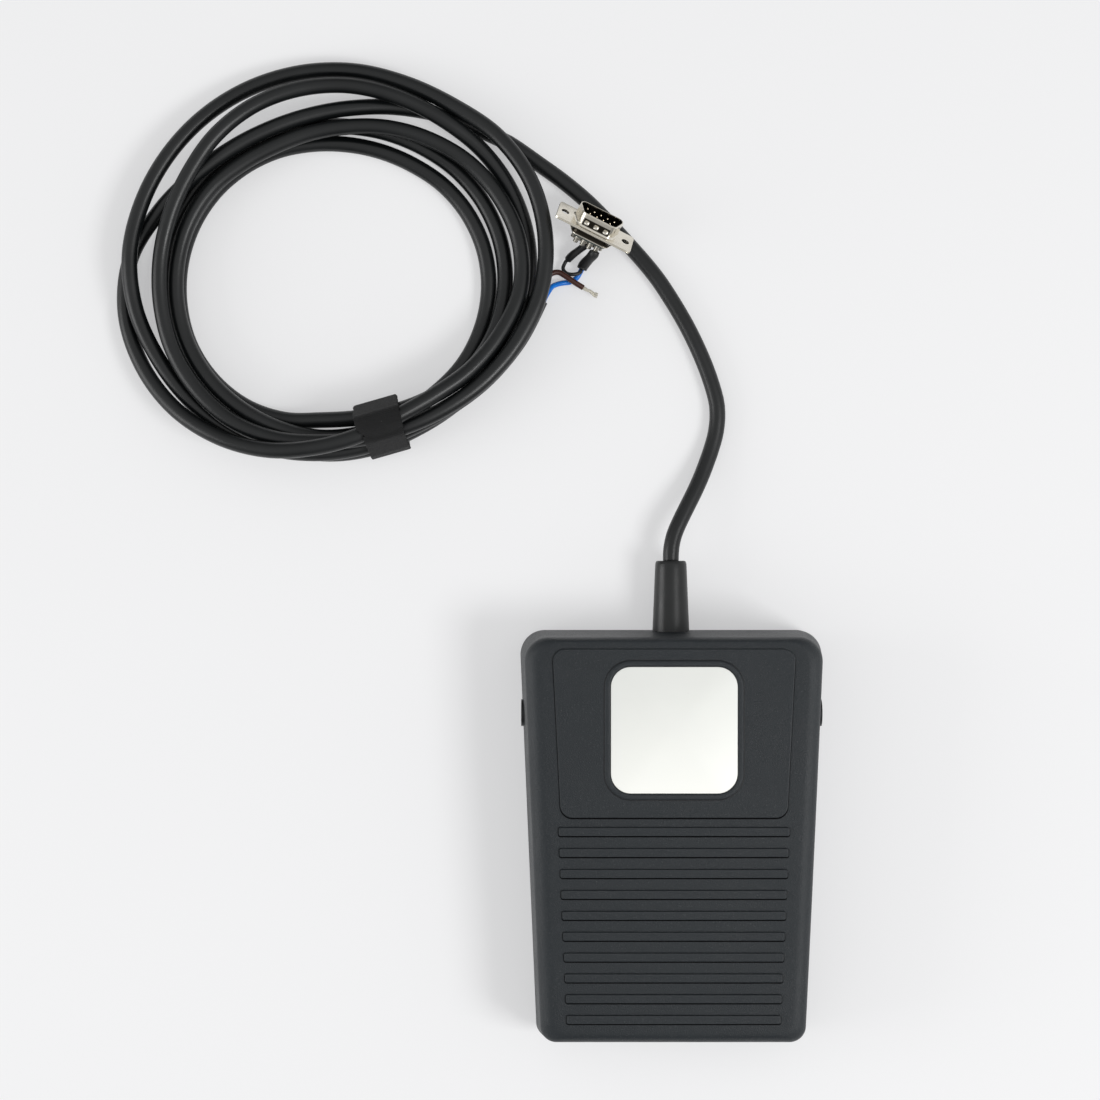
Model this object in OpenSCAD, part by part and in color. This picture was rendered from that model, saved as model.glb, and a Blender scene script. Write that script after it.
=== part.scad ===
// Foot switch: a ribbed treadle cover hinged over a moulded base, with a snap switch inside
// and a long lead that is coiled, strapped and soldered to a nine-way plug.
// Z is up, the lead leaves at +Y, the ribbed end that the foot presses is at -Y.

/* [Pedal] */
// Length of the cover along Y, at its lower edge
pedal_length = 152; // [120:1:200]
// Width of the cover at the end where the lead leaves
rear_width = 113; // [90:1:140]
// Width of the cover at the pressed end
front_width = 100; // [80:1:130]
// Height of the cover's top above the floor at the rear
rear_height = 38; // [36:0.5:46]
// How far the crowned top falls from the rear to the front
front_drop = 5; // [0:0.5:7]
// Plan radius of the two rear corners
rear_corner = 9; // [5:0.5:14]
// Plan radius of the two front corners
front_corner = 6; // [4:0.5:12]
// Width of the rounded edge along both sides
side_round = 5.5; // [2:0.5:8]
// Width of the rounded edge along the front
front_round = 4; // [2:0.5:6]
// Width of the rounded edge along the rear
rear_round = 2; // [1:0.5:5]
// Height of the rounded edge all round
round_height = 5; // [2:0.5:7]
// How far the walls lean inwards from the lower edge to the rounded edge
wall_lean = 1.6; // [0:0.2:3]
// Thickness of the cover's walls
cover_wall = 2.6; // [1.6:0.2:3.4]
// Thickness of the cover's roof
cover_roof = 3; // [2:0.2:4]

/* [Tread] */
// Number of ribs across the pressed end
rib_count = 10; // [4:1:10]
// Distance from one rib to the next
rib_pitch = 7.65; // [6:0.05:7.65]
// Width of a rib
rib_width = 3.2; // [2:0.1:4]
// Height of a rib above the roof
rib_height = 0.8; // [0.4:0.1:1.5]
// Distance of the first rib from the front edge of the cover
rib_first = 10.8; // [8:0.1:14]
// Distance from a rib's end to the side of the cover
rib_side_gap = 11.4; // [10:0.1:16]
// Height of the raised panel above the roof
panel_height = 0.6; // [0.3:0.1:1.2]
// Length of the raised panel
panel_length = 61.4; // [50:0.2:61.4]
// Distance from the panel to the rear edge
panel_rear_gap = 5.9; // [5.5:0.1:8]
// Distance from the panel's edge to the side of the cover
panel_side_gap = 12.2; // [10:0.1:18]
// Radius of the panel's corners
panel_corner = 4.5; // [2:0.5:8]

/* [Badge] */
// Side of the square badge plate
badge_size = 46; // [30:0.5:46]
// Thickness of the badge plate
badge_thick = 1; // [0.6:0.1:1.4]
// Radius of the badge's corners
badge_corner = 7.3; // [3:0.1:10]
// Width of the raised rim round the badge
badge_rim = 2.3; // [1:0.1:3]
// Height of the rim above the panel
badge_rim_height = 0.5; // [0.2:0.1:1]

/* [Hinge] */
// Distance of the hinge axis from the rear edge of the cover
hinge_from_rear = 30.5; // [24:0.5:36]
// Height of the hinge axis above the floor
hinge_height = 14; // [12:0.5:15]
// Diameter of the two hinge pins
pin_diameter = 5; // [4:0.1:6]
// Diameter of a hinge pin's head
pin_head_diameter = 10; // [8:0.1:11]
// Angle through which the cover is pressed
press_angle = 3; // [1:0.1:3]

/* [Base] */
// Thickness of the base's floor
base_floor = 2.5; // [2:0.1:3]
// Height of the base's walls above its floor
base_wall_height = 14; // [8:0.5:15]
// Thickness of the base's walls
base_wall = 2.2; // [1.6:0.1:3]
// Diameter of a rubber foot
foot_diameter = 14; // [8:0.5:18]
// Height of a rubber foot
foot_height = 2.6; // [2:0.1:2.6]
// Height of the feet below the base
foot_stand = 1.5; // [1:0.1:1.6]

/* [Switch] */
// Length of the switch case
switch_length = 27.8; // [26:0.1:30]
// Width of the switch case
switch_width = 10.3; // [8:0.1:12]
// Height of the switch case
switch_height = 15.9; // [14:0.1:16.2]
// Distance between the two fixing holes
switch_hole_span = 22.2; // [20:0.1:23]
// Diameter of the fixing holes
switch_hole = 3.1; // [2.5:0.1:3.4]
// Length of the lever from its hinge to its tip
lever_length = 20; // [18:0.5:22]
// Distance from the lever's hinge to where the cover touches it
lever_contact = 18; // [14:0.5:18]
// Distance from the lever's hinge to the plunger
lever_to_plunger = 7; // [5:0.5:9]

/* [Spring] */
// Outer diameter of a return spring
spring_diameter = 9; // [8:0.5:10]
// Wire diameter of a return spring
spring_wire = 1; // [0.8:0.1:1.2]
// Number of curls in a return spring
spring_curls = 7; // [4:1:8]
// Distance of each return spring from the middle
spring_side = 26; // [20:0.5:30]
// Distance of the return springs from the front edge
spring_from_front = 31; // [26:0.5:40]

/* [Lead] */
// Diameter of the lead's jacket
cord_diameter = 6; // [5:0.1:6]
// Diameter of one insulated core
core_diameter = 2.1; // [1.6:0.1:2.4]
// Length of the strain relief outside the cover
sleeve_length = 26; // [18:0.5:32]
// Diameter of the strain relief where it leaves the cover
sleeve_root = 13.8; // [12:0.1:13.8]
// Diameter of the strain relief at its free end
sleeve_tip = 11.7; // [8:0.1:12]
// Height of the lead's axis where it leaves the base
lead_height = 11; // [11:0.1:12]
// Width of the hook-and-loop strap round the coil
strap_width = 15; // [10:0.5:20]
// Thickness of the strap
strap_thick = 1.3; // [0.8:0.1:1.4]

/* [Plug] */
// Length of the plug's flange
flange_length = 30.8; // [30:0.1:31]
// Height of the plug's flange
flange_width = 12.55; // [12:0.05:13]
// Distance between the flange's two holes
flange_hole_span = 25; // [24.9:0.05:25.1]
// Diameter of the flange's holes
flange_hole = 3.05; // [2.8:0.05:3.3]
// Thickness of one sheet of the shell
shell_sheet = 0.5; // [0.4:0.05:0.8]
// Length of the D-shaped front shell
shell_length = 17.6; // [17:0.1:18.6]
// Height of the D-shaped front shell
shell_width = 9; // [8.6:0.1:9.4]
// How far the front shell stands out of the flange
shell_depth = 5.9; // [5:0.1:6.5]
// Distance from one contact to the next in a row
contact_pitch = 2.77; // [2.7:0.01:2.8]
// Distance between the two rows of contacts
contact_rows = 2.84; // [2.8:0.01:2.9]

/* [Hidden] */

// General values
overrun = 1;
leaf = 0.01;
run_clear = 0.05;
soft_gap = 0.3;
round_fn = 32;
true_fn = 64;
floor_lift = 0.05;

// Pedal, worked out
rear_y = pedal_length / 2;
front_y = -pedal_length / 2;
skirt_rear_gap = 1;
press_gap = 0.7;
base_top = foot_stand + base_floor;
hinge_y = rear_y - hinge_from_rear;
front_travel = (hinge_y - front_y) * tan(press_angle);
skirt_rear = base_top + skirt_rear_gap;
skirt_front = base_top + press_gap + front_travel;
crown_shares = [0.3, 0.5, 0.7];
round_step = 15;

function side_at(y) = rear_width / 2 + (front_width - rear_width) / 2 * (rear_y - y) / pedal_length;
function crown_at(y) = rear_height - front_drop * pow((rear_y - y) / pedal_length, 2);
function slope_at(y) = atan(2 * front_drop * (rear_y - y) / pow(pedal_length, 2));

// Base, worked out
base_side_in = cover_wall + wall_lean + 0.1 * cover_wall;
end_gap = 1.4;
base_end_in = cover_wall + wall_lean + end_gap;
plinth_in = 0.8;
base_wall_top = base_top + base_wall_height;
ear_radius = 7;
ear_depth = 9;
pin_head_proud = 0.6;
pin_head_sunk = 1.2;
pin_length = 15;
hinge_boss_gap = 0.25;
foot_in = 12;

// Switch, worked out
switch_z = base_top + 6;
switch_top = switch_z + switch_height;
lever_thick = 0.5;
lever_width = 4.4;
lever_pivot_up = 1.2;
lever_pivot_z = switch_top + lever_pivot_up;
lever_pivot_y = 6;
lever_tail = 1.5;
contact_y = lever_pivot_y - lever_contact;
contact_reach = hinge_y - contact_y;
lever_ratio = contact_reach / lever_contact;
lever_rest = press_angle * lever_ratio + 1;
rib_clear = 0.35;
contact_bead = 1.5;
plunger_y = lever_pivot_y - lever_to_plunger;
plunger_width = 3;
plunger_length = 4;
plunger_well = 5;
switch_y_rear = lever_pivot_y + lever_tail;
switch_y_front = switch_y_rear - switch_length;
switch_hole_in = (switch_length - switch_hole_span) / 2;
switch_split_share = 0.5;
web_thick = 3;
terminal_width = 6.3;
terminal_thick = 0.8;
terminal_drop = 5;
terminal_root = 1;
terminal_shares = [0.1, 0.62, 0.9];
screw_head = 5.5;
lug_thick = 1.3;
lug_gap = 0.1;
lug_round = 1.4;
lug_x = lever_width / 2 + lug_gap;
axle_length = lever_width + 2 * lug_gap + 2 * lug_thick;
screw_head_tall = 1.8;

// Springs, worked out
spring_y = front_y + spring_from_front;
spring_low = base_top + soft_gap;
spring_seat = 22;
spring_high = spring_seat - soft_gap;
spring_post = 5.6;
spring_post_tall = 4;
spring_rings = 8;
spring_sides = 6;

// Lead inside the base
clamp_y = rear_y - 20;
clamp_length = 27;
clamp_width = 8;
clamp_rise = 4;
clamp_split = 0.3;
clamp_screw_side = 9;
clamp_screw = 3;
tail_inner_y = rear_y - 27;
base_rear_y = rear_y - base_end_in;
sleeve_flange = 13.6;
sleeve_neck = 11.4;
sleeve_tip_y = rear_y + sleeve_length;
sleeve_bead = 1;
core_side = 1.3;
inner_wire_z = base_top + 3;
com_y = switch_y_rear - terminal_shares[0] * switch_length;
open_y = switch_y_rear - terminal_shares[1] * switch_length;

// Lead outside, hand-laid points from the strain relief to the coil
cord_radius = cord_diameter / 2;
lay_height = cord_radius + floor_lift;
lead_sides = 10;
lead_straight = 2;
lead_route = [
    [0.33, 107.7, 10.95], [1.32, 111.8, 10.6], [2.9, 115.6, 10.1], [5, 119.9, 9.2],
    [7.3, 124.4, 8.1], [9.6, 129, 6.9], [11.8, 133.9, 5.6], [13.8, 139, 4.5],
    [15.7, 144.4, 3.6], [17.3, 150.4, 3.1], [17.9, 157, 3.05], [17, 164, 3.05],
    [13, 176, 3.05], [7, 189, 3.05], [0, 201, 3.05], [-7, 211, 3.05],
    [-18, 223.5, 3.05], [-30, 236, 3.05], [-40, 244.5, 3.05], [-49, 251, 3.05]
];

// Coil: each row is one turn, read every 30 degrees from +X, anticlockwise.
// A reach is the distance from the coil's middle, a layer is a height in cord layers.
coil_middle = [-125.5, 209];
layer_pitch = 6.8;
station_step = 30;
coil_start = 40;
coil_start_straight = 45;
coil_end = 5 * 360 + 353;
coil_step = 15;
coil_sides = 6;
turn_reaches = [
    [97.5, 85, 71, 61.7, 59.8, 65.8, 78.9, 79.5, 73.2, 64, 58.5, 63.4],
    [70.1, 67.2, 60.5, 54.6, 53, 57, 59.3, 61, 61.2, 60.9, 57.8, 58.2],
    [57.3, 54.2, 50.4, 49.8, 52.6, 56.1, 59, 60.9, 59.2, 54.1, 57, 62.7],
    [63.6, 61.5, 57.9, 56.5, 59.2, 62.7, 65.6, 67.6, 66.5, 66.9, 64.9, 67.7],
    [72.6, 73, 70.3, 70.4, 68.9, 64.8, 64.9, 66.7, 66.6, 62.8, 63.8, 70.2],
    [78.3, 81, 76.6, 77.1, 77.2, 76.6, 76.5, 72.7, 70.4, 66.6, 64.4, 70.1],
    [79.2, 84, 86.2]
];
turn_layers = [
    [0, 0, 0.06, 0.7, 1.03, 0.84, 0.13, 0.79, 2.12, 3.06, 2.86, 1.88],
    [1.1, 0.83, 0.92, 1, 0.98, 0.97, 0.97, 1.02, 1.17, 0.72, 0.21, 0.02],
    [0, 0, 0, 0, 0, 0, 0, 0.03, 0.05, 0.74, 1.45, 0.88],
    [0.27, 0.03, 0, 0, 0, 0, 0, 0, 0.02, 0.25, 0.25, 0.02],
    [0.03, 0.27, 1.02, 1.29, 1.62, 1.88, 1.59, 1.52, 1.74, 2.06, 2.21, 1.91],
    [1.48, 1.14, 0.76, 0.38, 0.5, 1.05, 1.23, 0.83, 0.95, 1.23, 1.22, 0.94],
    [0.5, 0.35, 0.2]
];
reach_list = [for (row = turn_reaches) each row];
layer_list = [for (row = turn_layers) each row];

// Strap round the coil: places are [reach, height] round the bundle
strap_angle = 286;
strap_gap = 0.5;
strap_places = [[53.4, 9.6], [57.4, 4.9], [66, 4.9], [65.4, 12], [61.5, 24.3], [58.1, 23.4]];
strap_tab_length = 13;

// Plug: the flange's middle, its heading, its climb and its roll
plug_place = [-28.4, 226, 13.45];
plug_heading = -30.4;
plug_climb = 30;
plug_roll = 8;
rear_shell_depth = 4.6;
cup_depth = 8;
pin_reach = 5.2;
pin_size = 1;
cup_size = 1.9;
cup_bore = 1.3;
contact_body = 1.5;
insulator_face = 0.8;
shell_corner = 2.4;
shell_taper_share = 0.16;
flange_corner = 1.6;

// Lengths of the loose cores, in hand-laid points
wire_sides = 8;
brown_route = [[-46.6, 207, 6.2], [-44.6, 209.6, 6], [-42, 210.2, 5.6], [-39.6, 209, 5.2],
    [-37.2, 207.4, 4.8], [-35, 206, 4.4]];
brown_end = [-32.6, 204.6, 3.8];
bare_route = [[-30, 203.2, 3.4]];
bare_tip = [-27.2, 201.9, 3];
blue_route = [[-44.6, 204.6, 4.6], [-42.6, 205.9, 2.8], [-40.2, 206.6, 1.6], [-37.6, 207, 1.1],
    [-35.2, 208.4, 1.3]];
bare_diameter = 1.5;
long_sleeve_diameter = 3.4;
short_sleeve_diameter = 2.8;
long_sleeve_route = [[-32.2, 213.4, 3.9], [-33.2, 211.6, 3.1]];
short_sleeve_route = [[-36.4, 217, 4.8], [-38.4, 215.2, 3]];
jumper_diameter = 1.4;
jumper_route = [[-40.2, 212, 2.6], [-39, 210.2, 3.2], [-36.6, 209.6, 3.8]];

// Path helpers
function unit(v) = v / norm(v);
function last(list) = list[len(list) - 1];
function heading(path, i) =
    let (a = max(i - 1, 0), b = min(i + 1, len(path) - 1))
    (i == 0 || i == len(path) - 1)
        ? unit(path[b] - path[a])
        : unit(unit(path[i] - path[a]) + unit(path[b] - path[i]));
function ring(path, i, radius, sides) =
    let (
        ahead = heading(path, i),
        across = unit(cross(ahead, [0, 0, 1])),
        rise = cross(across, ahead)
    )
    [for (k = [0:sides - 1])
        path[i] + radius * (cos(360 * (k + 0.5) / sides) * across + sin(360 * (k + 0.5) / sides) * rise)];

// One unbroken tube swept along a path, its faces all triangles
module tube(path, radius, sides) {
    rings = len(path);
    points = [for (i = [0:rings - 1]) each ring(path, i, radius, sides)];
    walls = [for (i = [0:rings - 2], k = [0:sides - 1])
        let (n = (k + 1) % sides, a = i * sides, b = a + sides)
        each [[a + k, b + k, b + n], [a + k, b + n, a + n]]];
    first = [for (k = [1:sides - 2]) [0, k, k + 1]];
    end = (rings - 1) * sides;
    closing = [for (k = [1:sides - 2]) [end, end + k + 1, end + k]];
    polyhedron(points = points, faces = concat(walls, first, closing));
}

// A smooth value between hand-set stations round the coil
function station_value(list, degrees) =
    let (
        u = degrees / station_step,
        i = floor(u),
        f = u - i,
        n = len(list) - 1,
        p = [for (k = [-1:2]) list[min(max(i + k, 0), n)]]
    )
    p[1] + f * (p[2] - p[0]) / 2
        + f * f * (p[0] - 2.5 * p[1] + 2 * p[2] - p[3] / 2)
        + f * f * f * (1.5 * (p[1] - p[2]) + (p[3] - p[0]) / 2);
function coil_point(degrees) =
    let (reach = station_value(reach_list, degrees), layer = max(station_value(layer_list, degrees), 0))
    [
        coil_middle[0] + reach * cos(degrees),
        coil_middle[1] + reach * sin(degrees),
        lay_height + layer * layer_pitch
    ];
coil_first_step = ceil((coil_start_straight + coil_step) / coil_step);
coil_last_step = floor(coil_end / coil_step);
coil_angles = concat(
    [coil_start, coil_start_straight],
    [for (k = [coil_first_step:coil_last_step]) k * coil_step],
    [coil_end]
);
coil_path = [for (a = coil_angles) coil_point(a)];
coil_in = unit(coil_path[1] - coil_path[0]);
coil_out = unit(coil_path[len(coil_path) - 1] - coil_path[len(coil_path) - 2]);
jacket_end = last(coil_path);
lead_path = concat(
    [[0, sleeve_tip_y, lead_height], [0, sleeve_tip_y + lead_straight, lead_height]],
    lead_route,
    [coil_path[0] - coil_in * cord_diameter, coil_path[0]]
);

// Places on the plug, turned with it
function turn_x(p, a) = [p[0], p[1] * cos(a) - p[2] * sin(a), p[1] * sin(a) + p[2] * cos(a)];
function turn_z(p, a) = [p[0] * cos(a) - p[1] * sin(a), p[0] * sin(a) + p[1] * cos(a), p[2]];
function plug_turn(p) = turn_z(turn_x(turn_z(p, plug_roll), plug_climb - 90), plug_heading);
function on_plug(p) = plug_place + plug_turn(p);
mating = plug_turn([0, 0, 1]);
long_cup = on_plug([1.5 * contact_pitch, -contact_rows / 2, -cup_depth]);
short_cup = on_plug([0, contact_rows / 2, -cup_depth]);
long_sleeve_path = concat([long_cup, long_cup - mating * long_sleeve_diameter / 2], long_sleeve_route);
short_sleeve_path = concat([short_cup, short_cup - mating * short_sleeve_diameter / 2],
    short_sleeve_route);
long_sleeve_out = unit(last(long_sleeve_path) - long_sleeve_path[len(long_sleeve_path) - 2]);
short_sleeve_out = unit(last(short_sleeve_path) - short_sleeve_path[len(short_sleeve_path) - 2]);
jacket_across = unit(cross(coil_out, [0, 0, 1]));
brown_start = jacket_end - jacket_across * core_side;
blue_start = jacket_end + jacket_across * core_side;
long_side = unit(cross(long_sleeve_out, [0, 0, 1]));
long_rise = cross(long_side, long_sleeve_out);
blue_finish = last(long_sleeve_path) - long_rise * long_sleeve_diameter / 4;
jumper_finish = last(long_sleeve_path) + long_rise * long_sleeve_diameter / 4;
jumper_start = last(short_sleeve_path);

module place_plug() {
    translate(plug_place)
        rotate([0, 0, plug_heading])
            rotate([plug_climb - 90, 0, 0])
                rotate([0, 0, plug_roll])
                    children();
}

// Flat shapes of the pedal in plan
module corner_discs(side_in, front_in, rear_in, rear_r, front_r, tall) {
    for (side = [-1, 1]) {
        rear_disc_y = rear_y - rear_in - rear_r;
        front_disc_y = front_y + front_in + front_r;
        translate([side * (side_at(rear_disc_y) - side_in - rear_r), rear_disc_y, 0])
            cylinder(r = rear_r, h = tall, $fn = round_fn);
        translate([side * (side_at(front_disc_y) - side_in - front_r), front_disc_y, 0])
            cylinder(r = front_r, h = tall, $fn = round_fn);
    }
}

module plan_slab(side_in, end_in, rear_r, front_r, tall) {
    linear_extrude(tall)
        hull()
            for (side = [-1, 1]) {
                translate([side * (side_at(rear_y - end_in - rear_r) - side_in - rear_r),
                    rear_y - end_in - rear_r])
                    circle(r = rear_r, $fn = round_fn);
                translate([side * (side_at(front_y + end_in + front_r) - side_in - front_r),
                    front_y + end_in + front_r])
                    circle(r = front_r, $fn = round_fn);
            }
}

module rounded_rect(length, width, corner) {
    hull()
        for (x = [-1, 1], y = [-1, 1])
            translate([x * (length / 2 - corner), y * (width / 2 - corner)])
                circle(r = corner, $fn = round_fn);
}

// One level of the crowned cap: thin discs that follow the crown
module cap_level(side_in, front_in, rear_in, rear_r, front_r, drop) {
    for (side = [-1, 1]) {
        rear_disc_y = rear_y - rear_in - rear_r;
        front_disc_y = front_y + front_in + front_r;
        translate([side * (side_at(rear_disc_y) - side_in - rear_r), rear_disc_y, crown_at(rear_disc_y) - drop])
            cylinder(r = rear_r, h = leaf, $fn = round_fn);
        for (share = crown_shares) {
            y = rear_y - share * pedal_length;
            translate([side * (side_at(y) - side_in - leaf), y, crown_at(y) - drop])
                cube([leaf, leaf, leaf], center = true);
        }
        translate([side * (side_at(front_disc_y) - side_in - front_r), front_disc_y,
            crown_at(front_disc_y) - drop])
            cylinder(r = front_r, h = leaf, $fn = round_fn);
    }
}

// The cover's outside, or its hollow when inset by the wall and the roof
module crowned_cap(wall_in, roof_in, low) {
    rear_r = rear_corner - wall_in;
    front_r = front_corner - wall_in;
    hull() {
        translate([0, 0, low])
            corner_discs(wall_in, wall_in, wall_in, rear_r, front_r, skirt_front - low);
        for (a = [0:round_step:90]) {
            grow = 1 - cos(a);
            cap_level(
                wall_in + wall_lean + side_round * grow,
                wall_in + wall_lean + front_round * grow,
                wall_in + wall_lean + rear_round * grow,
                rear_r, front_r,
                roof_in + round_height * (1 - sin(a))
            );
        }
    }
}

// A piece that lies on the crown with its own slope
module on_crown(y) {
    translate([0, y, crown_at(y)])
        rotate([slope_at(y), 0, 0])
            children();
}

module raised_panel() {
    rear_edge = rear_y - panel_rear_gap;
    front_edge = rear_edge - panel_length;
    middle = (rear_edge + front_edge) / 2;
    on_crown(middle)
        translate([0, 0, -cover_roof / 2])
            linear_extrude(cover_roof / 2 + panel_height)
                hull()
                    for (side = [-1, 1]) {
                        translate([side * (side_at(rear_edge) - panel_side_gap - panel_corner),
                            panel_length / 2 - panel_corner])
                            circle(r = panel_corner, $fn = round_fn);
                        translate([side * (side_at(front_edge) - panel_side_gap - panel_corner),
                            panel_corner - panel_length / 2])
                            circle(r = panel_corner, $fn = round_fn);
                    }
}

badge_rim_gap = 4.2;
badge_y = rear_y - panel_rear_gap - badge_rim_gap - badge_rim - badge_size / 2;
badge_fit = 0.1;
badge_bed = panel_height - badge_thick + 0.6 * badge_rim_height;

module badge_frame() {
    on_crown(badge_y)
        translate([0, 0, -cover_roof / 2])
            linear_extrude(cover_roof / 2 + panel_height + badge_rim_height)
                rounded_rect(badge_size + 2 * badge_rim, badge_size + 2 * badge_rim, badge_corner + badge_rim);
}

module badge_pocket() {
    on_crown(badge_y)
        translate([0, 0, badge_bed])
            linear_extrude(cover_roof + overrun)
                rounded_rect(badge_size + 2 * badge_fit, badge_size + 2 * badge_fit, badge_corner + badge_fit);
}

module tread_ribs() {
    for (i = [0:rib_count - 1]) {
        y = front_y + rib_first + i * rib_pitch;
        half = side_at(y) - rib_side_gap;
        on_crown(y)
            translate([-half, -rib_width / 2, -cover_roof / 2])
                cube([2 * half, rib_width, cover_roof / 2 + rib_height]);
    }
}

// Slanting cut that leaves room under the skirt for the press
module skirt_cut() {
    rotate([90, 0, 90])
        linear_extrude(2 * rear_width, center = true)
            polygon([
                [front_y - overrun, -overrun],
                [rear_y + overrun, -overrun],
                [rear_y + overrun, skirt_rear],
                [front_y - overrun, skirt_front]
            ]);
}

module along_x(x, y, z, diameter, length) {
    translate([x, y, z])
        rotate([0, 90, 0])
            cylinder(d = diameter, h = length, $fn = true_fn);
}

module along_y(x, y, z, diameter, length) {
    translate([x, y, z])
        rotate([-90, 0, 0])
            cylinder(d = diameter, h = length, $fn = true_fn);
}

lean_share = (hinge_height - skirt_front) / (rear_height - round_height - skirt_front);
hinge_wall_x = side_at(hinge_y) - wall_lean * lean_share;
hinge_inner_x = hinge_wall_x - cover_wall;
ear_x = side_at(hinge_y) - base_side_in;
hinge_boss = 12;
head_seat_x = hinge_wall_x - pin_head_sunk;
head_top_x = side_at(hinge_y) + pin_head_proud;

module hinge_bosses() {
    for (side = [-1, 1])
        mirror([side < 0 ? 1 : 0, 0, 0])
            along_x(ear_x + hinge_boss_gap, hinge_y, hinge_height, hinge_boss,
                hinge_inner_x - ear_x - hinge_boss_gap + cover_wall / 2);
}

module hinge_holes() {
    for (side = [-1, 1])
        mirror([side < 0 ? 1 : 0, 0, 0]) {
            along_x(ear_x - overrun, hinge_y, hinge_height, pin_diameter + 2 * run_clear,
                hinge_wall_x - ear_x + 2 * overrun);
            along_x(head_seat_x, hinge_y, hinge_height, pin_head_diameter + 4 * run_clear,
                pin_head_sunk + 2 * overrun);
        }
}

roof_under_contact = crown_at(contact_y) - cover_roof;
lever_top_at_contact = lever_pivot_z + lever_contact * tan(lever_rest) + lever_thick;

module press_rib() {
    bead_z = lever_top_at_contact + rib_clear + contact_bead;
    translate([0, contact_y, 0]) {
        translate([-lever_width, -contact_bead, bead_z])
            cube([2 * lever_width, 2 * contact_bead, roof_under_contact - bead_z + cover_roof / 2]);
        along_x(-lever_width, 0, bead_z, 2 * contact_bead, 2 * lever_width);
    }
}

module spring_cups() {
    for (side = [-1, 1])
        translate([side * spring_side, spring_y, 0]) {
            translate([0, 0, spring_seat])
                cylinder(d = spring_diameter + 2, h = crown_at(spring_y) - cover_roof / 2 - spring_seat,
                    $fn = true_fn);
            translate([0, 0, spring_seat - spring_post_tall / 2])
                cylinder(d = spring_post, h = spring_post_tall, $fn = true_fn);
        }
}

notch_radius = sleeve_root / 2 + 0.8;

module sleeve_notch() {
    along_y(0, rear_y - cover_wall - wall_lean - rear_corner, lead_height, 2 * notch_radius,
        cover_wall + wall_lean + rear_corner + overrun);
    translate([-notch_radius, rear_y - cover_wall - wall_lean - rear_corner, 0])
        cube([2 * notch_radius, cover_wall + wall_lean + rear_corner + overrun, lead_height]);
}

module treadle_cover() {
    color("#25282b")
        difference() {
            union() {
                difference() {
                    union() {
                        crowned_cap(0, 0, base_top);
                        raised_panel();
                        badge_frame();
                        tread_ribs();
                    }
                    crowned_cap(cover_wall, cover_roof, -overrun);
                    badge_pocket();
                }
                hinge_bosses();
                press_rib();
                spring_cups();
            }
            skirt_cut();
            hinge_holes();
            sleeve_notch();
        }
}

module badge_plate() {
    color("#e6e7e4")
        on_crown(badge_y)
            translate([0, 0, badge_bed])
                linear_extrude(badge_thick)
                    rounded_rect(badge_size, badge_size, badge_corner);
}

// Base moulding with its ears, posts, switch web and clamp saddle
foot_places = [for (side = [-1, 1], end = [-1, 1])
    [side * (side_at(end * (rear_y - foot_in - plinth_in)) - foot_in), end * (rear_y - foot_in)]];

module clamp_block(low, high) {
    translate([-clamp_length / 2, clamp_y - clamp_width / 2, low])
        cube([clamp_length, clamp_width, high - low]);
}

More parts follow.
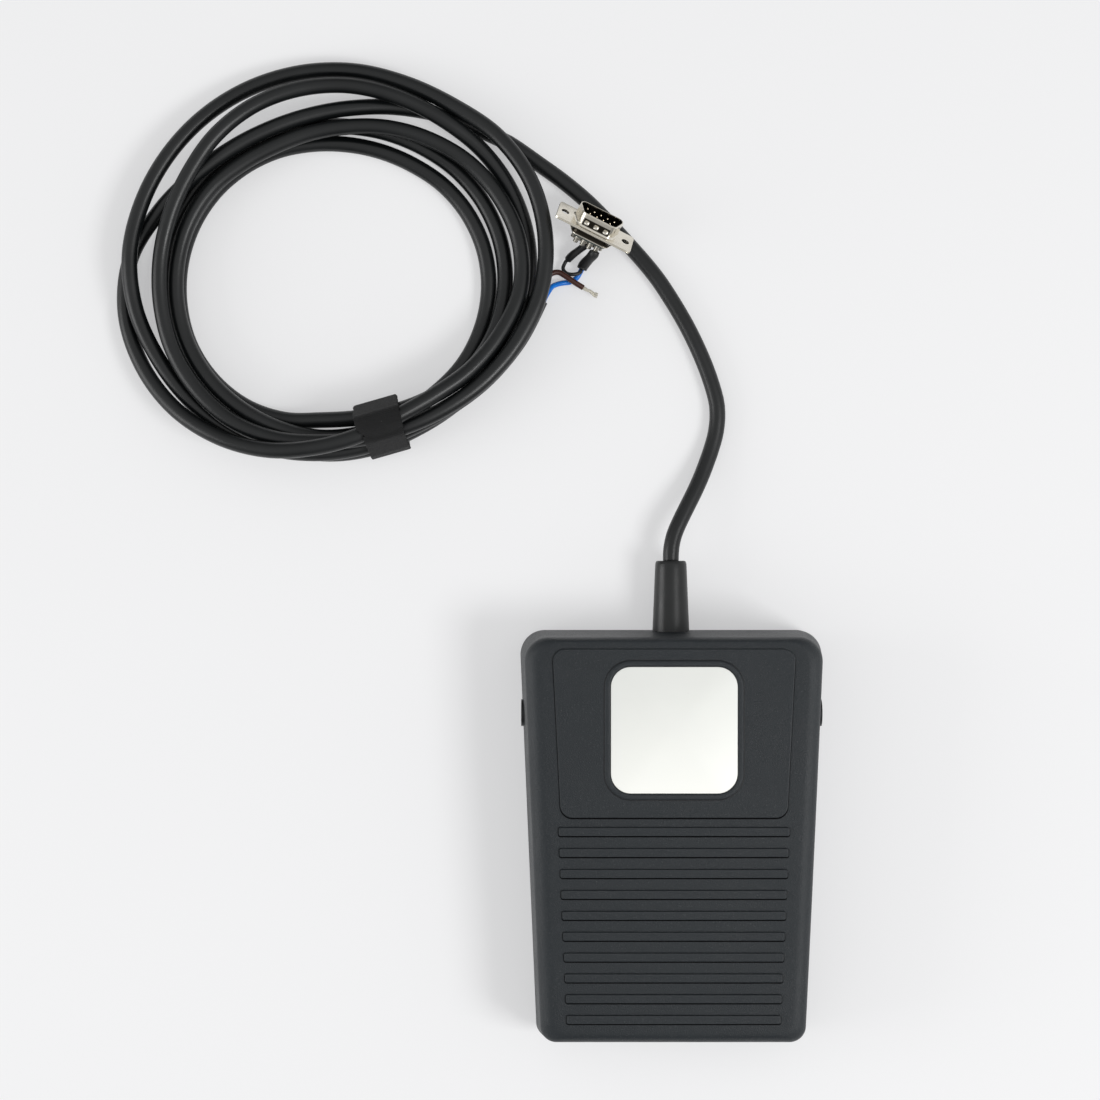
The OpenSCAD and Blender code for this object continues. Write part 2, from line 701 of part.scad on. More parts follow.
module base_tray() {
    switch_web_z = switch_z + switch_hole_in + screw_head;
    color("#1f2224")
        difference() {
            union() {
                translate([0, 0, foot_stand])
                    plan_slab(plinth_in, plinth_in, rear_corner - plinth_in, front_corner - plinth_in, base_floor);
                difference() {
                    translate([0, 0, foot_stand + base_floor / 2])
                        plan_slab(base_side_in, base_end_in, rear_corner - cover_wall,
                            front_corner - cover_wall, base_floor / 2 + base_wall_height);
                    translate([0, 0, base_top])
                        plan_slab(base_side_in + base_wall, base_end_in + base_wall,
                            rear_corner - cover_wall - base_wall / 2, front_corner - cover_wall - base_wall / 2,
                            base_wall_height + overrun);
                }
                for (side = [-1, 1])
                    mirror([side < 0 ? 1 : 0, 0, 0]) {
                        along_x(ear_x - ear_depth, hinge_y, hinge_height, 2 * ear_radius, ear_depth);
                        translate([ear_x - ear_depth, hinge_y - ear_radius, foot_stand + base_floor / 2])
                            cube([ear_depth, 2 * ear_radius, hinge_height - foot_stand - base_floor / 2]);
                    }
                for (side = [-1, 1])
                    translate([side * spring_side, spring_y, foot_stand + base_floor / 2])
                        cylinder(d = spring_post, h = base_floor / 2 + spring_post_tall, $fn = true_fn);
                translate([-switch_width / 2 - web_thick, switch_y_front + overrun, foot_stand + base_floor / 2])
                    cube([web_thick, switch_length - 2 * overrun, switch_web_z - foot_stand - base_floor / 2]);
                clamp_block(foot_stand + base_floor / 2, lead_height - clamp_split);
            }
            for (place = foot_places)
                translate([place[0], place[1], foot_stand - overrun])
                    cylinder(d = foot_diameter, h = foot_height - foot_stand + overrun, $fn = true_fn);
            for (side = [-1, 1])
                mirror([side < 0 ? 1 : 0, 0, 0])
                    along_x(ear_x - ear_depth - overrun, hinge_y, hinge_height, pin_diameter,
                        ear_depth + 2 * overrun);
            for (hole_y = [switch_y_rear - switch_hole_in, switch_y_front + switch_hole_in])
                along_x(-switch_width / 2 - web_thick - overrun, hole_y, switch_z + switch_hole_in,
                    clamp_screw, web_thick + 2 * overrun);
            along_y(0, clamp_y - clamp_width, lead_height, cord_diameter, 2 * clamp_width);
            for (side = [-1, 1])
                translate([side * clamp_screw_side, clamp_y, base_top])
                    cylinder(d = clamp_screw, h = lead_height, $fn = true_fn);
            along_y(0, base_rear_y - 2 * base_wall, lead_height, sleeve_neck, 2 * base_wall + overrun);
            translate([-sleeve_neck / 2, base_rear_y - 2 * base_wall, lead_height])
                cube([sleeve_neck, 2 * base_wall + overrun, base_wall_top]);
        }
}

module foot_pads() {
    color("#141516")
        for (place = foot_places)
            translate([place[0], place[1], 0])
                difference() {
                    cylinder(d = foot_diameter, h = foot_height, $fn = true_fn);
                    translate([0, 0, -overrun])
                        cylinder(d = foot_diameter / 3, h = overrun + foot_stand / 2, $fn = true_fn);
                }
}

module hinge_pin() {
    along_x(head_top_x - pin_length, hinge_y, hinge_height, pin_diameter, pin_length);
    along_x(head_seat_x + run_clear, hinge_y, hinge_height, pin_head_diameter,
        head_top_x - head_seat_x - run_clear);
}

module hinge_pin_left() {
    color("#2b2e30")
        mirror([1, 0, 0])
            hinge_pin();
}

module hinge_pin_right() {
    color("#2b2e30")
        hinge_pin();
}

spring_radius = (spring_diameter - spring_wire) / 2;
spring_rise = spring_high - spring_low - spring_wire;
spring_path = [for (k = [0:spring_curls * spring_rings])
    let (a = 360 * k / spring_rings)
    [
        spring_radius * cos(a),
        spring_radius * sin(a),
        spring_low + spring_wire / 2 + spring_rise * k / (spring_curls * spring_rings)
    ]];

module return_springs() {
    echo(spring_gap_between_curls = spring_rise / spring_curls - spring_wire);
    color("#9a9c9e")
        for (side = [-1, 1])
            translate([side * spring_side, spring_y, 0])
                tube(spring_path, spring_wire / 2, spring_sides);
}

// Snap switch: a moulded case, its cover, plunger, lever, terminals and screws
module switch_half(low_x, width, lug_low) {
    difference() {
        union() {
            translate([low_x, switch_y_front, switch_z])
                cube([width, switch_length, switch_height]);
            along_x(lug_low, lever_pivot_y, lever_pivot_z, 2 * lug_round, lug_thick);
            translate([lug_low, lever_pivot_y - lug_round, switch_top - lug_round])
                cube([lug_thick, 2 * lug_round, lever_pivot_z - switch_top + lug_round]);
        }
        along_x(lug_low - overrun, lever_pivot_y, lever_pivot_z, 2 * lever_thick + 2 * run_clear,
            lug_thick + 2 * overrun);
        for (hole_y = [switch_y_rear - switch_hole_in, switch_y_front + switch_hole_in])
            along_x(low_x - overrun, hole_y, switch_z + switch_hole_in, switch_hole, width + 2 * overrun);
        translate([-plunger_width / 2 - run_clear, plunger_y - plunger_length / 2 - run_clear,
            switch_top - plunger_well])
            cube([plunger_width + 2 * run_clear, plunger_length + 2 * run_clear, plunger_well + overrun]);
        for (share = terminal_shares)
            translate([-terminal_width / 2, switch_y_rear - share * switch_length - terminal_thick / 2,
                switch_z - overrun])
                cube([terminal_width, terminal_thick, terminal_root + overrun]);
    }
}

module switch_case() {
    color("#30343a")
        switch_half(-switch_width / 2, switch_width * switch_split_share, -lug_x - lug_thick);
}

module switch_cover() {
    color("#3b4047")
        switch_half(-switch_width / 2 + switch_width * switch_split_share,
            switch_width * (1 - switch_split_share), lug_x);
}

plunger_drop = lever_to_plunger * lever_ratio * press_angle * PI / 180;
plunger_top = lever_pivot_z + lever_to_plunger * tan(lever_rest) - lever_thick;

module switch_plunger() {
    color("#b23a2e")
        translate([-plunger_width / 2, plunger_y - plunger_length / 2, switch_top - plunger_well + plunger_drop + run_clear])
            cube([plunger_width, plunger_length,
                plunger_top - switch_top + plunger_well - plunger_drop - run_clear]);
}

module switch_lever() {
    color("#b9bcbe")
        translate([0, lever_pivot_y, lever_pivot_z])
            rotate([-lever_rest, 0, 0]) {
                translate([-lever_width / 2, -lever_length, 0])
                    cube([lever_width, lever_length, lever_thick]);
                along_x(-axle_length / 2, 0, 0, 2 * lever_thick, axle_length);
            }
}

module switch_terminals() {
    color("#c9b97a")
        for (share = terminal_shares)
            difference() {
                translate([-terminal_width / 2, switch_y_rear - share * switch_length - terminal_thick / 2,
                    switch_z - terminal_drop])
                    cube([terminal_width, terminal_thick, terminal_drop + terminal_root]);
                along_y(-terminal_width / 4, switch_y_rear - share * switch_length - terminal_thick,
                    switch_z - terminal_drop / 3, terminal_thick * 1.5, 2 * terminal_thick);
            }
}

module switch_screws() {
    color("#8d9092")
        for (hole_y = [switch_y_rear - switch_hole_in, switch_y_front + switch_hole_in]) {
            along_x(-switch_width / 2 - web_thick, hole_y, switch_z + switch_hole_in, clamp_screw,
                switch_width + web_thick + screw_head_tall / 2);
            along_x(switch_width / 2, hole_y, switch_z + switch_hole_in, screw_head, screw_head_tall);
        }
}

// Lead inside the base
clamp_top = lead_height + clamp_split + clamp_rise;

module cord_clamp() {
    color("#303335")
        difference() {
            clamp_block(lead_height + clamp_split, clamp_top);
            along_y(0, clamp_y - clamp_width, lead_height, cord_diameter, 2 * clamp_width);
            for (side = [-1, 1])
                translate([side * clamp_screw_side, clamp_y, lead_height])
                    cylinder(d = clamp_screw, h = clamp_rise + overrun, $fn = true_fn);
        }
}

module clamp_screws() {
    color("#8d9092")
        for (side = [-1, 1])
            translate([side * clamp_screw_side, clamp_y, 0]) {
                translate([0, 0, base_top])
                    cylinder(d = clamp_screw, h = clamp_top - base_top + screw_head_tall / 2, $fn = true_fn);
                translate([0, 0, clamp_top])
                    cylinder(d = screw_head, h = screw_head_tall, $fn = true_fn);
            }
}

module cord_tail() {
    color("#1a1b1c")
        along_y(0, tail_inner_y, lead_height, cord_diameter, sleeve_tip_y - tail_inner_y);
}

inner_reach = tail_inner_y - com_y;

module inner_core_brown() {
    color("#6b3f22")
        tube([
            [core_side, tail_inner_y, lead_height],
            [core_side, tail_inner_y - inner_reach * 0.2, lead_height],
            [core_side, tail_inner_y - inner_reach * 0.6, lead_height - core_diameter / 2],
            [core_side, tail_inner_y - inner_reach * 0.9, inner_wire_z],
            [core_side, com_y + terminal_thick / 2, inner_wire_z]
        ], core_diameter / 2, wire_sides);
}

module inner_core_blue() {
    bypass = terminal_width;
    color("#1f6fb5")
        tube([
            [-core_side, tail_inner_y, lead_height],
            [-core_side, tail_inner_y - inner_reach * 0.15, lead_height],
            [-core_side - bypass / 8, tail_inner_y - inner_reach * 0.35, inner_wire_z],
            [bypass / 2, tail_inner_y - inner_reach * 0.55, inner_wire_z - core_diameter / 2],
            [bypass * 0.95, tail_inner_y - inner_reach * 0.8, inner_wire_z - core_diameter / 2],
            [bypass, com_y, inner_wire_z - core_diameter / 2],
            [bypass * 0.6, com_y - inner_reach * 0.1, inner_wire_z - core_diameter / 2],
            [core_side, open_y + terminal_thick + core_diameter, inner_wire_z - core_diameter / 2],
            [core_side, open_y + terminal_thick / 2, inner_wire_z - core_diameter / 2]
        ], core_diameter / 2, wire_sides);
}

module strain_relief() {
    neck_low = base_rear_y - base_wall;
    color("#1b1c1d")
        translate([0, 0, lead_height])
            rotate([-90, 0, 0])
                rotate_extrude($fn = true_fn)
                    polygon([
                        [cord_diameter / 2 + run_clear, neck_low - base_wall],
                        [sleeve_flange / 2, neck_low - base_wall],
                        [sleeve_flange / 2, neck_low],
                        [sleeve_neck / 2, neck_low],
                        [sleeve_neck / 2, base_rear_y],
                        [sleeve_root / 2, base_rear_y],
                        [sleeve_root / 2, rear_y],
                        [sleeve_tip / 2, sleeve_tip_y - sleeve_bead],
                        [sleeve_tip / 2 - sleeve_bead / 2, sleeve_tip_y],
                        [cord_diameter / 2 + run_clear, sleeve_tip_y]
                    ]);
}

// Lead outside
module cord_lead() {
    color("#1a1b1c")
        tube(lead_path, cord_radius, lead_sides);
}

measure_step = 5;
measure_points = [for (a = [coil_start:measure_step:coil_end]) coil_point(a)];
measure_skip = 200 / measure_step;

module cord_coil() {
    gaps = [for (i = [0:len(measure_points) - 1], j = [i + measure_skip:1:len(measure_points) - 1])
        norm(measure_points[i] - measure_points[j])];
    runs = [for (i = [1:len(measure_points) - 1]) norm(measure_points[i] - measure_points[i - 1])];
    echo(coil_least_gap = min(gaps) - cord_diameter);
    echo(coil_length = runs * [for (r = runs) 1]);
    color("#1c1d1e")
        tube(coil_path, cord_radius, coil_sides);
}

module strap_outline(extra) {
    hull()
        for (place = strap_places)
            translate(place)
                circle(r = cord_radius + strap_gap + extra, $fn = round_fn);
}

module coil_strap() {
    top_place = last(strap_places);
    color("#111213")
        translate([coil_middle[0], coil_middle[1], 0])
            rotate([0, 0, strap_angle])
                rotate([90, 0, 0])
                    difference() {
                        linear_extrude(strap_width, center = true)
                            strap_outline(strap_thick);
                        linear_extrude(strap_width + 2 * overrun, center = true)
                            strap_outline(0);
                    }
}

module core_brown() {
    color("#6b3f22")
        tube(concat([brown_start, brown_start + coil_out * core_diameter], brown_route, [brown_end]),
            core_diameter / 2, wire_sides);
}

module core_blue() {
    color("#1f7ac2")
        tube(concat(
            [blue_start, blue_start + coil_out * core_diameter],
            blue_route,
            [blue_finish + long_sleeve_out * core_diameter, blue_finish]
        ), core_diameter / 2 * 0.8, wire_sides);
}

module bare_end() {
    brown_out = unit(brown_end - last(brown_route));
    color("#c8a66a")
        tube(concat([brown_end, brown_end + brown_out * bare_diameter / 2], bare_route, [bare_tip]),
            bare_diameter / 2, wire_sides);
}

module shrink_sleeve_long() {
    color("#161718")
        tube(long_sleeve_path, long_sleeve_diameter / 2, wire_sides);
}

module shrink_sleeve_short() {
    color("#161718")
        tube(short_sleeve_path, short_sleeve_diameter / 2, wire_sides);
}

module jumper_wires() {
    color("#1b1c1d")
        tube([
            jumper_start,
            jumper_start + short_sleeve_out * jumper_diameter,
            each jumper_route,
            jumper_finish + long_sleeve_out * jumper_diameter,
            jumper_finish
        ], jumper_diameter / 2, wire_sides);
}

// Nine-way plug: a D-shaped front shell, a rear shell, an insulator and nine contacts
module d_outline(grow) {
    half_l = shell_length / 2 + grow;
    half_w = shell_width / 2 + grow;
    corner = shell_corner + grow;
    hull()
        for (side = [-1, 1]) {
            translate([side * (half_l - corner), half_w - corner])
                circle(r = corner, $fn = round_fn);
            translate([side * (half_l - corner - shell_taper_share * shell_width), corner - half_w])
                circle(r = corner, $fn = round_fn);
        }
}

module flange_sheet(low) {
    translate([0, 0, low])
        linear_extrude(shell_sheet)
            rounded_rect(flange_length, flange_width, flange_corner);
}

module flange_holes() {
    for (side = [-1, 1])
        translate([side * flange_hole_span / 2, 0, -overrun])
            cylinder(d = flange_hole, h = 2 * overrun, $fn = true_fn);
}

module plug_front_shell() {
    color("#d9d4c8")
        place_plug()
            difference() {
                union() {
                    flange_sheet(0);
                    linear_extrude(shell_depth)
                        d_outline(0);
                }
                translate([0, 0, -overrun])
                    linear_extrude(shell_depth + 2 * overrun)
                        d_outline(-shell_sheet);
                flange_holes();
            }
}

module plug_rear_shell() {
    color("#cfcabd")
        place_plug()
            difference() {
                union() {
                    flange_sheet(-shell_sheet);
                    translate([0, 0, -rear_shell_depth])
                        linear_extrude(rear_shell_depth)
                            d_outline(shell_sheet / 2);
                }
                translate([0, 0, -rear_shell_depth - overrun])
                    linear_extrude(rear_shell_depth + 2 * overrun)
                        d_outline(-shell_sheet);
                flange_holes();
            }
}

contact_places = concat(
    [for (i = [-2:2]) [i * contact_pitch, contact_rows / 2]],
    [for (i = [-1.5:1:1.5]) [i * contact_pitch, -contact_rows / 2]]
);

module plug_insulator() {
    color("#17181a")
        place_plug()
            difference() {
                translate([0, 0, -rear_shell_depth])
                    linear_extrude(rear_shell_depth + insulator_face)
                        d_outline(-shell_sheet);
                for (place = contact_places)
                    translate([place[0], place[1], -rear_shell_depth - overrun])
                        cylinder(d = contact_body, h = rear_shell_depth + insulator_face + 2 * overrun,
                            $fn = true_fn);
            }
}

module plug_contacts() {
    color("#d8c48a")
        place_plug()
            for (place = contact_places)
                translate([place[0], place[1], 0])
                    difference() {
                        union() {
                            translate([0, 0, -rear_shell_depth])
                                cylinder(d = contact_body, h = rear_shell_depth + insulator_face, $fn = true_fn);
                            cylinder(d = pin_size, h = pin_reach, $fn = true_fn);
                            translate([0, 0, -cup_depth])
                                cylinder(d = cup_size, h = cup_depth - rear_shell_depth, $fn = true_fn);
                        }
                        translate([0, 0, -cup_depth - overrun])
                            cylinder(d = cup_bore, h = overrun + (cup_depth - rear_shell_depth) / 2, $fn = true_fn);
                    }
}

base_tray();
foot_pads();
hinge_pin_left();
hinge_pin_right();
return_springs();
switch_case();
switch_cover();
switch_plunger();
switch_lever();
switch_terminals();
switch_screws();
cord_clamp();
clamp_screws();
cord_tail();
inner_core_brown();
inner_core_blue();
strain_relief();
treadle_cover();
badge_plate();
cord_lead();
cord_coil();
coil_strap();
core_brown();
core_blue();
bare_end();
shrink_sleeve_long();
shrink_sleeve_short();
jumper_wires();
plug_front_shell();
plug_rear_shell();
plug_insulator();
plug_contacts();
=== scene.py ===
"""Foot switch in full dress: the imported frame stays, and finer forms and finishes go round it.

Sizes are in millimetres inside the classes and turn into metres when a mesh is made.
Z is up, the lead leaves at +Y and the ribbed end that the foot presses is at -Y.
"""

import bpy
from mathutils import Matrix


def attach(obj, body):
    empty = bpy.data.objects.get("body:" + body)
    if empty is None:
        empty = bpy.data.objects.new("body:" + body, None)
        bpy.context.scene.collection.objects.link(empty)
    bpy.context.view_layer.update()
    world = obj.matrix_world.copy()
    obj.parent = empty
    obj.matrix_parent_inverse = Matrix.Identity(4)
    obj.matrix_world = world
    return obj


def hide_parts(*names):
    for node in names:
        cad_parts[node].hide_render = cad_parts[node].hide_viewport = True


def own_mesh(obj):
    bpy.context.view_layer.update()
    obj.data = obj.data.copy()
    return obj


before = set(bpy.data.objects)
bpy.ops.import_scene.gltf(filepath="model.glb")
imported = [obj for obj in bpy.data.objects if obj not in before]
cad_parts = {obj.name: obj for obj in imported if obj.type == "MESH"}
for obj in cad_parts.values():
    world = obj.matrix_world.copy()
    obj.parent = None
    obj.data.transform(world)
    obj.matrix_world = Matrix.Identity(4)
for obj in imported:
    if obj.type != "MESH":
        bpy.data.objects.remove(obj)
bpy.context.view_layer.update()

import logging
import math
from collections.abc import Callable, Iterable
from dataclasses import dataclass, field
from enum import Enum

import bmesh
import bpy
import numpy as np
from mathutils import Matrix, Vector

log = logging.getLogger("foot_switch")
Array = np.ndarray
Triple = tuple[float, float, float]
Colour = Triple
Outline = Callable[[float], Array]
Finish = bpy.types.Material
Piece = bpy.types.Object
Socket = bpy.types.NodeSocket
MM = 0.001
PIXELS_PER_MM = 2.65
PICTURE_PIXELS = 1100
SMOOTH_ANGLE = 35.0
SHELL_ANGLE = 50.0
PAD_ANGLE = 60.0
SPRING_PLACES = ((26.0, -45.0), (-26.0, -45.0))
LEAD_HEIGHT = 11.0
CORE_DIAMETER = 2.1


class Body(str, Enum):
    """The moving bodies that the new pieces ride on."""

    BASE = "base"
    TREADLE = "treadle"


class Ends(Enum):
    """Which ends of a skin are closed."""

    OPEN = False
    BOTH = True


class Axis(Enum):
    """Where a turned form's X, Y and Z come from when its axis is laid along another one."""

    X = (2, 0, 1)
    Y = (1, 2, 0)


class Turn(Enum):
    """The two coordinates that a turn about an axis mixes."""

    ABOUT_X = (1, 2)
    ABOUT_Z = (0, 1)


# ---------------------------------------------------------------- forms


@dataclass
class Form:
    """Loose mesh data in millimetres: points, faces with their corner UVs, and a tone per point."""

    points: Array
    faces: list[Array]
    uvs: list[Array]
    tone: Array

    def moved(self, place: Callable[[Array], Array]) -> "Form":
        """Returns the form with its points put through place."""
        return Form(place(self.points), self.faces, self.uvs, self.tone)

    def shifted(self, x: float = 0.0, y: float = 0.0, z: float = 0.0) -> "Form":
        """Returns the form moved by those distances."""
        return self.moved(lambda points: points + np.array([x, y, z]))

    def laid_along(self, axis: Axis) -> "Form":
        """Returns a turned form with its axis laid along another one."""
        return self.moved(lambda points: points[:, axis.value])

    def turned_out(self) -> "Form":
        """Returns the form with every face turned round."""
        return Form(self.points, [face[:, ::-1] for face in self.faces],
                    [uv[:, ::-1] for uv in self.uvs], self.tone)

    def mirrored(self) -> "Form":
        """Returns the form mirrored in X, its faces still outwards."""
        return self.moved(lambda points: points * np.array([-1, 1, 1])).turned_out()


def joined(forms: list[Form]) -> Form:
    """Puts several forms into one.

    Args:
        forms: The forms, in order.

    Returns:
        One form that holds them all.
    """
    starts = np.cumsum([0] + [len(f.points) for f in forms[:-1]])
    return Form(
        np.concatenate([f.points for f in forms]),
        [face + start for f, start in zip(forms, starts) for face in f.faces],
        [uv for f in forms for uv in f.uvs],
        np.concatenate([f.tone for f in forms]),
    )


def unit(vectors: Array) -> Array:
    """Brings vectors to length one.

    Args:
        vectors: The vectors, along the last axis.

    Returns:
        Each vector over its length.
    """
    return vectors / np.linalg.norm(vectors, axis=-1, keepdims=True)


def distances(line: Array) -> Array:
    """Measures how far along a line each of its points lies.

    Args:
        line: The points.

    Returns:
        The running sum of the steps between points, from nought.
    """
    return np.concatenate([[0], np.cumsum(np.linalg.norm(np.diff(line, axis=0), axis=-1))])


def read_at(line: Array, marks: Array) -> Array:
    """Reads a line at distances along it, straight between its points.

    Args:
        line: The points.
        marks: The distances.

    Returns:
        A point for each mark.
    """
    run = distances(line)
    return np.stack([np.interp(marks, run, column) for column in line.T], -1)


def even_round(line: Array, count: int) -> Array:
    """Spaces the points of a closed line evenly, the first one kept.

    Args:
        line: The points, the first one not repeated.
        count: How many to give.

    Returns:
        The even points.
    """
    closed = np.vstack([line, line[:1]])
    return read_at(closed, np.linspace(0, distances(closed)[-1], count + 1)[:-1])


def smooth_step(t: Array) -> Array:
    """Eases a share of the way at both ends: t squared times (3 - 2 t).

    Args:
        t: The share, cut off below nought and above one.

    Returns:
        The eased share.
    """
    t = np.clip(t, 0, 1)
    return t * t * (3 - 2 * t)


def cubic(values: Array, u: Array) -> Array:
    """Reads given values between their places, by a cubic through four of them.

    With f counted from p1 to p2, a span is
    p1 + f (p2-p0)/2 + f^2 (p0 - 5/2 p1 + 2 p2 - p3/2) + f^3 (3/2 (p1-p2) + (p3-p0)/2).

    Args:
        values: The given values, a number or a row for each place.
        u: Where to read, counted in places from the first one.

    Returns:
        One number or row for each entry of u.
    """
    last = len(values) - 1
    i = np.minimum(np.floor(u).astype(int), last - 1)
    f = (u - i).reshape(-1, *[1] * (values.ndim - 1))
    p0, p1, p2, p3 = (values[np.clip(i + k, 0, last)] for k in (-1, 0, 1, 2))
    return (p1 + f * (p2 - p0) / 2 + f**2 * (p0 - 2.5 * p1 + 2 * p2 - p3 / 2)
            + f**3 * (1.5 * (p1 - p2) + (p3 - p0) / 2))


def smooth_route(points: Array, step: float, share: int = 24) -> Array:
    """Runs a smooth line through given points: their cubic, read at even distances.

    Args:
        points: The given points.
        step: About the distance between two points of the result.
        share: How many samples each span has before the even steps are taken.

    Returns:
        Points at even distances along the line, both ends kept.
    """
    spans = len(points) - 1
    line = cubic(points, np.linspace(0, spans, spans * share + 1))
    length = distances(line)[-1]
    return read_at(line, np.linspace(0, length, max(int(round(length / step)), 2) + 1))


def frames_on(path: Array) -> tuple[Array, Array, Array]:
    """Works out a frame for each point of a path: ahead is the direction of its slope,
    across is up x ahead, and the third is ahead x across.

    Args:
        path: Points along the path, nowhere upright.

    Returns:
        The direction ahead, the one across and the one that rises.
    """
    ahead = unit(np.gradient(path, axis=0))
    across = unit(np.cross(np.array([0.0, 0.0, 1.0]), ahead))
    return ahead, across, np.cross(ahead, across)


def turned_points(points: Array, degrees: float, turn: Turn) -> Array:
    """Turns points about an axis: i' = i cos a - j sin a and j' = i sin a + j cos a.

    Args:
        points: The points.
        degrees: The angle a.
        turn: The axis, as the two coordinates i and j that it mixes.

    Returns:
        The turned points.
    """
    a = math.radians(degrees)
    i, j = turn.value
    result = points.copy()
    result[..., i] = points[..., i] * math.cos(a) - points[..., j] * math.sin(a)
    result[..., j] = points[..., i] * math.sin(a) + points[..., j] * math.cos(a)
    return result


def ring_skin(rings: Array, ends: Ends = Ends.BOTH, tone: Array | None = None,
              around: float = 1.0) -> Form:
    """Joins rings into a skin: a column meets its neighbours in quads, the last one the first.

    Args:
        rings: Points as (rings, columns, 3), anticlockwise seen from the last ring.
        ends: Whether the end rings are closed by a fan round their middle.
        tone: One tone per ring, or one per point as (rings, columns).
        around: The U value of the last column. V is the distance along column 0.

    Returns:
        The closed or open skin, its faces outwards.
    """
    count, sides = rings.shape[:2]
    i, j = (a.ravel() for a in np.meshgrid(np.arange(count - 1), np.arange(sides), indexing="ij"))
    beside = (j + 1) % sides
    quads = np.stack([i * sides + j, i * sides + beside,
                      (i + 1) * sides + beside, (i + 1) * sides + j], -1)
    rows = distances(rings[:, 0])
    u0, u1 = j / sides * around, (j + 1) / sides * around
    corners = ((u0, rows[i]), (u1, rows[i]), (u1, rows[i + 1]), (u0, rows[i + 1]))
    tone = np.zeros(count) if tone is None else np.asarray(tone, float)
    tone = np.broadcast_to(tone.reshape(count, -1), (count, sides))
    points, tones = [rings.reshape(-1, 3)], [tone.ravel()]
    faces, uvs = [quads], [np.stack([np.stack(corner, -1) for corner in corners], 1)]
    k = np.arange(sides)
    for ring, turn in ((0, -1), (count - 1, 1)) if ends.value else ():
        middle = len(np.concatenate(points))
        points.append(rings[ring].mean(0)[None])
        tones.append(np.array([tone[ring].mean()]))
        fan = [np.full(sides, middle), ring * sides + k, ring * sides + (k + 1) % sides]
        fan_uv = [np.stack([u, np.full(sides, rows[ring])], -1)
                  for u in (np.full(sides, 0.5 * around), k / sides * around,
                            (k + 1) / sides * around)]
        faces.append(np.stack(fan, -1)[:, ::turn])
        uvs.append(np.stack(fan_uv, 1)[:, ::turn])
    return Form(np.concatenate(points), faces, uvs, np.concatenate(tones))


def closed_skin(rings: Array, tone: Array | None = None) -> Form:
    """Joins rings into a skin without ends, whose last ring meets the first one.

    Args:
        rings: Points as (rings, columns, 3).
        tone: One tone per ring, or one per point.

    Returns:
        The skin, as a moulding round an opening has it.
    """
    tones = None if tone is None else np.concatenate([tone, tone[:1]])
    skin = ring_skin(np.concatenate([rings, rings[:1]]), Ends.OPEN, tones)
    count = rings.shape[0] * rings.shape[1]
    skin.points, skin.tone = skin.points[:count], skin.tone[:count]
    skin.faces = [face % count for face in skin.faces]
    return skin


def level_rings(outlines: Iterable[Array], heights: Iterable[Array | float]) -> Array:
    """Lays flat outlines at their heights.

    Args:
        outlines: The outlines, all with as many points.
        heights: For each outline one height, or one per point.

    Returns:
        The rings.
    """
    return np.stack([np.column_stack([flat, np.broadcast_to(height, len(flat))])
                     for flat, height in zip(outlines, heights)])


def on_circle(angles: Array) -> Array:
    """Places points on a circle of radius one: (cos a, sin a).

    Args:
        angles: The angles a.

    Returns:
        The points.
    """
    return np.stack([np.cos(angles), np.sin(angles)], -1)


def circle(sides: int) -> Array:
    """Draws a round profile of radius one.

    Args:
        sides: How many points it has.

    Returns:
        The profile.
    """
    return on_circle(2 * np.pi * np.arange(sides) / sides)


def level_skin(levels: Iterable[Triple], shape: Outline,
               join: Callable[..., Form] = ring_skin) -> Form:
    """Joins levels into a skin: each is the outline for its amount, laid at its height.

    Args:
        levels: An amount, a height and a tone for each level, from the foot up.
        shape: Gives the outline for an amount.
        join: ring_skin, or closed_skin for a form round an opening.

    Returns:
        The skin.
    """
    amounts, heights, tones = zip(*levels)
    return join(level_rings(map(shape, amounts), heights), tone=np.array(tones))


def round_tube(path: Array, radius: Array | float, sides: int, edge: float) -> Form:
    """Sweeps a circle along a path: point + r (across cos a + rise sin a). Its ends are closed.

    Args:
        path: Points along the tube's middle.
        radius: The radius, or one per point.
        sides: Points round the tube.
        edge: Radius of the eased edges at the ends.

    Returns:
        The tube.
    """
    radius = np.broadcast_to(np.asarray(radius, float), len(path))
    ahead = unit(np.gradient(path, axis=0))
    a = np.linspace(0, np.pi / 2, 4)[:-1]
    radius = np.concatenate([radius[0] - edge * (1 - np.sin(a)), radius[1:-1],
                             radius[-1] - edge * (1 - np.sin(a[::-1]))])
    path = np.concatenate([path[0] + ahead[0] * edge * (1 - np.cos(a))[:, None], path[1:-1],
                           path[-1] - ahead[-1] * edge * (1 - np.cos(a[::-1]))[:, None]])
    _, across, rise = frames_on(path)
    x, y = circle(sides).T[:, None] * radius[:, None]
    return ring_skin(path[:, None] + x[..., None] * across[:, None] + y[..., None] * rise[:, None])


def turned(profile: list[list[float]], sides: int, ends: Ends = Ends.BOTH,
           tone: list[float] | None = None) -> Form:
    """Turns a profile round the Z axis: (r cos a, r sin a, height).

    Args:
        profile: Points (radius, height) from the lower end up.
        sides: Points round the axis.
        ends: Whether the ends are closed.
        tone: One tone per profile point.

    Returns:
        The turned form.
    """
    radii, heights = np.array(profile, float).T
    return ring_skin(level_rings(radii[:, None, None] * circle(sides)[None], heights), ends, tone)


